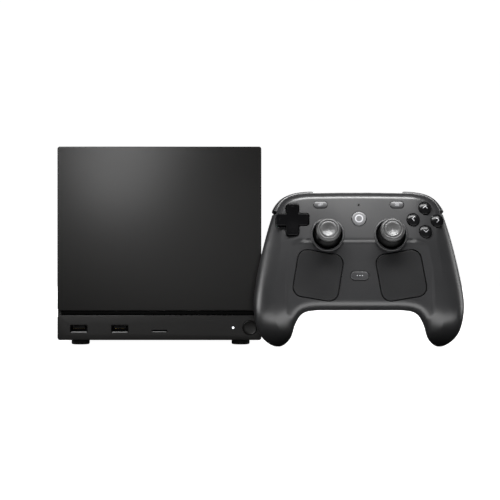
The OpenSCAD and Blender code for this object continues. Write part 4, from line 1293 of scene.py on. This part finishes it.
def bumper_mesh(name):
    t0, t1 = 1.45, 4.36
    low, high, proud, deep, roll = -15.5, -6.0, 1.1, -1.8, 0.9
    heights = [low + roll * (1 - math.cos(a)) for a in np.radians([0, 15, 30, 50, 70, 90])]
    heights += list(np.linspace(low + roll, high - roll, 14)[1:-1])
    heights += [high - roll * (1 - math.cos(a)) for a in np.radians([90, 70, 50, 30, 15, 0])]
    ends = [t0 + (t1 - t0) * s for s in (0, 0.004, 0.012, 0.025, 0.045)]
    stops = ends + list(np.linspace(ends[-1], t0 + t1 - ends[-1], 90)[1:-1])
    stops += [t0 + t1 - e for e in reversed(ends)]
    loops = []
    for t in stops:
        from_end = min(t - t0, t1 - t) / (t1 - t0) * 55
        loop = []
        for h in heights:
            lift = rolled_share(h - low, roll) * rolled_share(high - h, roll)
            lift *= rolled_share(from_end, 1.2)
            loop.append(band_point(t, h, proud - roll + roll * lift))
        loop += [band_point(t, h, deep) for h in np.linspace(high, low, 16)]
        loops.append(np.array(loop))
    return lofted(name, loops)


right_bumper = bumper_mesh("bumper_right")
left_bumper = copied(right_bumper, "bumper_left", MIRROR)
for piece, word in ((right_bumper, "right"), (left_bumper, "left")):
    moved(piece, PAD)
    ship(piece, f"{word}_bumper", shell_plastic, [f"{word}_bumper"], angle=40)

# %% [markdown]
# A trigger is a hook in section. The section is drawn smooth, drawn out to the trigger's width, and
# its two side edges are rounded where a finger would feel them.


# %% Triggers
def smoothed(points, steps=6):
    """A closed curve through the points."""
    out = []
    pts = [np.array(p, float) for p in points]
    for i in range(len(pts)):
        a, b, c, d = (pts[(i + k) % len(pts)] for k in (-1, 0, 1, 2))
        for j in range(steps):
            f = j / steps
            bend = (2 * a - 5 * b + 4 * c - d) * f * f + (3 * b - a - 3 * c + d) * f**3
            out.append(0.5 * (2 * b + (c - a) * f + bend))
    return out


HOOK = [(-2.6, 2.6), (2.4, 3.4), (5.2, 1.6), (6.4, -3), (6, -9), (3.8, -15), (-0.6, -20.4)]
HOOK += [(-5.4, -23.4), (-6.2, -21.6), (-2.6, -17.6), (0.8, -12.4), (2.2, -7), (1.4, -3.4), (-2.6, -2.6)]
hook_points = in_metres(smoothed(HOOK))
trigger = extruded("trigger_right", hook_points, 0, TRIGGER_W * MM)
round_edges(trigger, lambda a, b: abs(a.z - b.z) < 1e-7, 0.8 * MM, 4)
pin = round_cutter(0, 0, 1.5, -1.8, TRIGGER_W + 1.8)
trigger = joined([trigger, pin])
to_width = Matrix(((0, 0, 1, 0), (1, 0, 0, 0), (0, 1, 0, 0), (0, 0, 0, 1)))
moved(trigger, trigger_frame() @ to_width)
left_trigger = copied(trigger, "trigger_left", MIRROR)
for piece, word in ((trigger, "right"), (left_trigger, "left")):
    moved(piece, PAD)
    ship(piece, f"{word}_trigger", gloss_plastic, [f"{word}_trigger"], angle=40)

# %% [markdown]
# The grip paddles continue the skin of the handle, just proud of it. Rings shrink from the outline
# to the middle, and each ring is laid at the height of the skin beneath it.


# %% Grip paddles
def paddle_mesh(name, place):
    wide, long = 10.5, 21.0
    shares = (0.02, 0.15, 0.3, 0.45, 0.6, 0.72, 0.82, 0.9)
    insets = [0.8, 0.55, 0.35, 0.18, 0.06, 0.0]
    cosine, sine = math.cos(PADDLE_TURN), math.sin(PADDLE_TURN)
    turn = np.array([[cosine, -sine], [sine, cosine]])

    def ring_at(inset):
        corner = wide / 2 - 0.3 - inset
        return np.array(rounded_outline(wide - 2 * inset, long - 2 * inset, corner, 12)) @ turn.T

    def height(points, gap):
        return skin_height(points + place, gap, rim_line(gap), -1)

    def laid(flat, gap, drop=0.0):
        return np.column_stack([flat + place, height(flat, gap) + drop])

    loops = [laid(ring_at(0.8) * share, -0.7) for share in shares]
    for inset in insets:
        loops.append(laid(ring_at(inset), -0.7, 0.8 * (1 - rolled_share(inset, 0.8))))
    for grow, gap in ((0, 2.4), (-1.2, 2.45), (-1.2, 3.4)):
        loops.append(laid(ring_at(grow), gap))
    loops.append(laid(ring_at(-1.2) * 0.5, 3.4))
    return lofted(name, loops)


for level, place in PADDLES.items():
    right = paddle_mesh(f"right_{level}_key", np.array(place))
    left = copied(right, f"left_{level}_key", MIRROR)
    for piece, word in ((right, "right"), (left, "left")):
        moved(piece, PAD)
        body = f"{word}_{level}_paddle"
        ship(piece, body, key_plastic, [body], angle=40)

# %% [markdown]
# ## Everything inside and behind
# The remaining parts keep the exact CAD shapes. Sheet metal, boards and castings get a fine bevel
# over that shape, because a perfectly sharp edge is the first thing that gives a model away.

# %% Finishes for the parts that keep their CAD shape
FINISHES = {
    inner_plastic: {
        "base_tray": 0.3, "processors": 0.15, "fan_frame": 0.3, "fan_rotor": 0.2,
        "mains_inlet": 0.3, "dpad_rocker": 0.1, "left_carriage": 0.1, "right_carriage": 0.1,
        "left_yoke": 0.1, "right_yoke": 0.1,
    },
    zinc_sheet: {
        "plate_magnets": 0.2, "power_supply": 0.3, "stick_housings": 0.15,
    },
    sleeve_plastic: {
        "rear_panel": 0.3,
    },
    board_green: {
        "front_port_board": 0.1, "mainboard": 0.1, "memory_modules": 0.1, "solid_state_drive": 0.1,
        "pad_board": 0.1,
    },
    # The card reader is painted near black, as the shade inside the card slot.
    socket_painted_shade: {
        "card_reader": 0.1,
    },
    bare_aluminium: {
        "heat_sink": 0.08,
    },
    socket_steel: {
        "rear_ports": 0.12, "haptic_motors": 0.2, "charge_port": 0.1,
    },
    screw_steel: {
        "case_screws": 0.1, "pad_screws": 0.1,
    },
    cell_wrap: {
        "battery": 0.3,
    },
    silicone_grey: {
        "button_membranes": 0.2,
    },
    smoked_plastic: {
        "pad_lens": 0,
    },
}
kept_parts = [(name, m, width) for m, nodes in FINISHES.items() for name, width in nodes.items()]
for name, material, width in kept_parts:
    part = frame["nodes"][name]
    part.data.materials.clear()
    part.data.materials.append(material)
    if width:
        bevel = part.modifiers.new("edges", "BEVEL")
        bevel.width = width * MM
        bevel.segments = 2
        bevel.limit_method = "ANGLE"
        bevel.angle_limit = math.radians(40)
        bevel.harden_normals = False
print("finished CAD parts:", len(kept_parts))

# %% [markdown]
# ## The studio
# The set is a plain white floor that runs into a white backdrop, both bright enough to lose the line
# between them. Dark satin plastic shows little of its own colour: nearly everything seen on it is
# reflected light. So the white surroundings are kept out of the reflections, as black flags do in a
# studio, and a few soft panels draw the shapes.

# %% Floor and backdrop
scene = bpy.context.scene
scene.view_settings.view_transform = "Standard"
world = bpy.data.worlds.new("studio")
scene.world = world
world.use_nodes = True
world.node_tree.nodes["Background"].inputs["Color"].default_value = (1, 1, 1, 1)
world.node_tree.nodes["Background"].inputs["Strength"].default_value = 0.03

floor_white = finish("floor_white", 0.80, 0.82, (0.55, 0.65), (200, 0.05), 4)
floor_shader = floor_white.node_tree.nodes["Principled BSDF"]
floor_shader.inputs["Emission Color"].default_value = (1, 1, 1, 1)
floor_shader.inputs["Emission Strength"].default_value = 1.0
for name, place, turn in (("floor", (0, 0, 0), 0), ("backdrop", (0, 2.2, 0), 90)):
    put_down()
    lean = (math.radians(turn), 0, 0)
    bpy.ops.mesh.primitive_plane_add(size=9, location=place, rotation=lean)
    sheet = bpy.context.active_object
    sheet.name = name
    sheet.data.materials.append(floor_white)
    sheet.visible_glossy = False
    sheet.visible_diffuse = False
    sheet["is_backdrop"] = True

# %% [markdown]
# The console and the controller each have their own key panel. The console's stands low and close,
# so its reflection falls off across the front plate. The controller's hangs just above the top edge
# and lights the face down to the crease, below which the surface turns away from it. Two weak panels
# near the floor light the controller from below, and two more light its flanks. The last four light
# the console's top and sides and the back of both. The powers are set for the controller standing at
# rest: with it lifted off, its face comes out far too bright.

# %% Light panels
on_console = bpy.data.collections.new("console pieces")
on_controller = bpy.data.collections.new("controller pieces")
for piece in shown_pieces():
    home_body = (body_of(piece) or ["console"])[0]
    of_console = home_body in ("console", "power_button", "fan_rotor")
    (on_console if of_console else on_controller).objects.link(piece)


def panel(name, place, target, size, power, receivers=None):
    light = bpy.data.objects.new(name, bpy.data.lights.new(name, "AREA"))
    scene.collection.objects.link(light)
    light.data.shape = "RECTANGLE"
    light.data.size, light.data.size_y = size
    light.data.energy = power
    light.location = place
    light.rotation_euler = (Vector(target) - Vector(place)).to_track_quat("-Z", "Y").to_euler()
    light.visible_camera = False
    if receivers:
        light.light_linking.receiver_collection = receivers
    return light


panel("console key", (-0.165, -0.36, 0.28), (-0.13, -0.062, 0.16), (0.10, 0.30), 0.95, on_console)
panel("console bounce", (-0.1, -1.5, 0.10), (-0.08, -0.06, 0.07), (1.2, 0.5), 2.2, on_console)
panel("controller key", (0.070, -0.20, 0.285), (0.070, -0.075, 0.12), (0.26, 0.06), 2.4, on_controller)
panel("controller bounce", (0.075, -0.36, 0.005), (0.075, -0.08, 0.02), (0.45, 0.18), 0.08, on_controller)
panel("controller under", (0.075, -0.155, 0.002), (0.075, -0.155, 0.1), (0.30, 0.08), 0.5, on_controller)
panel("rim left", (-0.5, -0.14, 0.12), (0.0, -0.08, 0.08), (0.2, 0.3), 2.0, on_controller)
panel("rim right", (0.6, 0.05, 0.12), (0.15, -0.08, 0.08), (0.2, 0.3), 0.9, on_controller)
panel("overhead", (-0.2, -1.6, 1.4), (0, 0, 0.08), (1.2, 1.0), 1.2, on_console)
panel("behind", (0.25, 1.5, 0.6), (0.0, 0.0, 0.08), (2.0, 0.9), 16)
panel("side right", (1.3, -0.2, 0.5), (0.0, 0.0, 0.08), (1.2, 0.7), 9, on_console)
panel("side left", (-1.3, 0.1, 0.5), (-0.1, 0.0, 0.08), (1.2, 0.7), 9, on_console)
